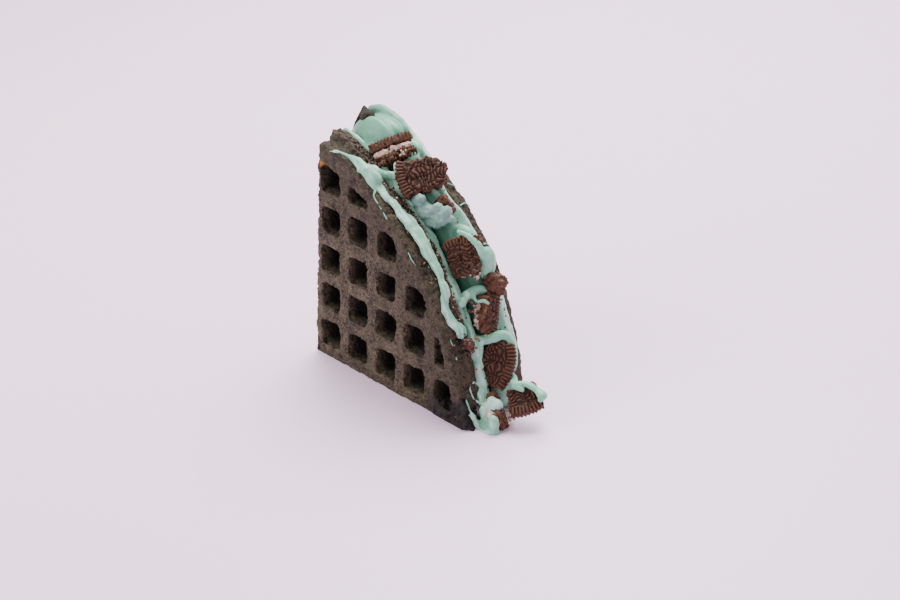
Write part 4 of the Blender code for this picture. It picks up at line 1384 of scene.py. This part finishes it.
class WAFFLE_OT_crumbs(bpy.types.Operator):
    """Scatter the fine crumbs over the cream and the rim"""
    bl_idname = "waffle.crumbs"
    bl_label = "Fine crumbs"

    def execute(self, context):
        rng = random.Random(5)
        dark = scattered(rng, 300, in_crevice, (0.25, 0.85))
        dark += scattered(rng, 70, on_coat, (0.2, 0.42))
        dark += gathered(rng, 24, DARK_HEAPS, 1.7, (0.3, 0.9))
        dark += gathered(rng, 16, DARK_DUST, 1.9, (0.3, 0.8))
        dark += scattered(rng, 120, on_crest, (0.35, 0.95))
        pale = scattered(rng, 190, in_crevice, (0.22, 0.6))
        pale += gathered(rng, 16, PALE_HEAPS, 1.1, (0.22, 0.62))
        pale += gathered(rng, 26, [PALE_SPILL], 1.2, (0.4, 1.0))
        toast = scattered(rng, 60, on_rim, (0.2, 0.5))
        toast += gathered(rng, 22, TOAST_HEAPS, 1.5, (0.3, 0.8))
        for name, spots, slot, seed, dark_colour, light_colour in (
                ("dark_crumb", dark, "cookie_wafer", 6, (0.030, 0.016, 0.011), (0.10, 0.045, 0.028)),
                ("pale_crumb", pale, "cookie_filling", 7, (0.36, 0.22, 0.15), (0.70, 0.55, 0.45)),
                ("toasted_crumb", toast, "dark_waffle", 8, (0.085, 0.040, 0.022), (0.25, 0.115, 0.050))):
            fine_crumbs(name + "s", spots, crumb_look(name + "_look", dark_colour, light_colour), slot, seed)
        return {"FINISHED"}


# Angle round the rim, depth, half sizes, facing and roll of each flake
WET_FLAKES = [(12.9, 8.2, (2.5, 4.2, 0.9), (0.97, 0.0, 0.22), 24),
              (9.1, 6.9, (1.3, 3.0, 0.8), (0.97, 0.0, 0.16), 12)]


TIP_RIDGES = [
    [(4.4, 22.6, 103.6, 2.2), (3.4, 22.8, 105, 1.4), (2.8, 23.2, 106, 0.7)],
    [(2.6, 22.4, 104, 1), (1.4, 21.6, 101, 1), (-0.6, 21.2, 97.6, 0.7), (-1.8, 21, 94, 0.6)],
]


def bare_tip(look):
    """The bare corner of the back plate, which shows through the cream at the very top."""
    bm = bmesh.new()
    bead(bm, (6.4, 22.2, 102.4), (3.5, 3.1, 3.3), detail=4)
    for run in TIP_RIDGES:
        rope(bm, run, 0.4)
    mesh = remeshed(bm, "bare_tip", 0.3, 2)
    displaced(mesh, lambda p, n: layered(p, (0.22, 2.2, 1.0), (0.16, 0.9, 3.0)))
    # The tip is darkened with the same near black as the pockets' painted shade.
    painted(mesh, "pocket", lambda p, n: 0.72)
    return finished("bare_tip", mesh, look, "dark_waffle")


class WAFFLE_OT_flakes(bpy.types.Operator):
    """Set the dark wet flakes in the cream at the foot"""
    bl_idname = "waffle.flakes"
    bl_label = "Wet flakes"

    def execute(self, context):
        bm = bmesh.new()
        for turn, depth, radii, facing, roll in WET_FLAKES:
            lie = aimed(facing) @ Matrix.Rotation(math.radians(roll), 4, "Z")
            bead(bm, rim_point(turn, front_rim(turn, depth) + 0.1, depth), radii, lie, 3)
        mesh = remeshed(bm, "wet_flakes", 0.25, 1)
        displaced(mesh, lambda p, n: 0.16 * wander(p, 1.6, 1.0))
        finished("wet_flakes", mesh, flake_look(), "dark_waffle")
        bare_tip(waffle_look(context.scene.waffle_settings))
        return {"FINISHED"}


class WAFFLE_OT_stage(bpy.types.Operator):
    """Set the pale floor, the soft lights and the camera"""
    bl_idname = "waffle.stage"
    bl_label = "Stage"

    def execute(self, context):
        settings = context.scene.stage_settings
        bm = bmesh.new()
        bmesh.ops.create_grid(bm, x_segments=1, y_segments=1, size=FLOOR_HALF)
        mesh = to_mesh(bm, "floor")
        look = Look("floor_look", 0.45)
        soft = look.spread(look.noise(9.0, 2.0, 0.4), 0.3, 0.7, 0.0, 0.3)
        mesh.materials.append(look.colour(look.mix(soft, tuple(settings.floor), shade(settings.floor, 0.96))))
        floor = bpy.data.objects.new("floor", mesh)
        context.scene.collection.objects.link(floor)
        add_light("key_light", (-0.25, 0.45, 0.90), 0.8, settings.key_power)
        add_light("fill_light", (-0.42, -0.56, 0.46), 0.6, settings.fill_power)
        world = bpy.data.worlds.new("room")
        world.use_nodes = True
        back = world.node_tree.nodes["Background"]
        back.inputs["Color"].default_value = ROOM_COLOUR
        back.inputs["Strength"].default_value = settings.sky
        context.scene.world = world
        camera = bpy.data.objects.new("camera", bpy.data.cameras.new("camera"))
        camera.data.lens = settings.focal
        camera.data.sensor_width = 36.0
        camera.data.clip_start = 0.01
        turn = Matrix.Identity(4)
        for angle, axis in ((CAMERA_ROUND, "Z"), (90 - CAMERA_DOWN, "X"), (CAMERA_ROLL, "Z")):
            turn = turn @ Matrix.Rotation(math.radians(angle), 4, axis)
        camera.matrix_world = Matrix.Translation(CORNER + CAMERA_AT) @ turn
        context.scene.collection.objects.link(camera)
        context.scene.camera = camera
        return {"FINISHED"}


def add_light(name, at, size, power):
    data = bpy.data.lights.new(name, "AREA")
    data.shape = "DISK"
    data.size = size
    data.energy = power
    lamp = bpy.data.objects.new(name, data)
    lamp.matrix_world = Matrix.Translation(at) @ aimed(LIGHT_AIM - Vector(at), "-Z")
    bpy.context.scene.collection.objects.link(lamp)


OPERATORS = (WAFFLE_OT_plates, WAFFLE_OT_cream, WAFFLE_OT_wafers, WAFFLE_OT_fillings, WAFFLE_OT_crumbs,
             WAFFLE_OT_flakes, WAFFLE_OT_stage)


class WAFFLE_PT_panel(bpy.types.Panel):
    """Lists the pieces of the waffle sandwich"""
    bl_idname = "WAFFLE_PT_panel"
    bl_label = "Waffle sandwich"
    bl_space_type = "VIEW_3D"
    bl_region_type = "UI"
    bl_category = "Waffle"

    def draw(self, context):
        for operator in OPERATORS:
            self.layout.operator(operator.bl_idname)


SETTINGS = {"waffle_settings": WaffleSettings, "cream_settings": CreamSettings,
            "cookie_settings": CookieSettings, "stage_settings": StageSettings}
CLASSES = (*SETTINGS.values(), *OPERATORS, WAFFLE_PT_panel)


def register():
    for cls in CLASSES:
        bpy.utils.register_class(cls)
    for name, settings in SETTINGS.items():
        setattr(bpy.types.Scene, name, bpy.props.PointerProperty(type=settings))


def unregister():
    for name in SETTINGS:
        delattr(bpy.types.Scene, name)
    for cls in reversed(CLASSES):
        bpy.utils.unregister_class(cls)


def main():
    register()
    bpy.ops.waffle.stage()
    bpy.ops.waffle.plates()
    bpy.ops.waffle.cream()
    bpy.ops.waffle.wafers()
    bpy.ops.waffle.fillings()
    bpy.ops.waffle.crumbs()
    bpy.ops.waffle.flakes()


if __name__ == "__main__":
    main()
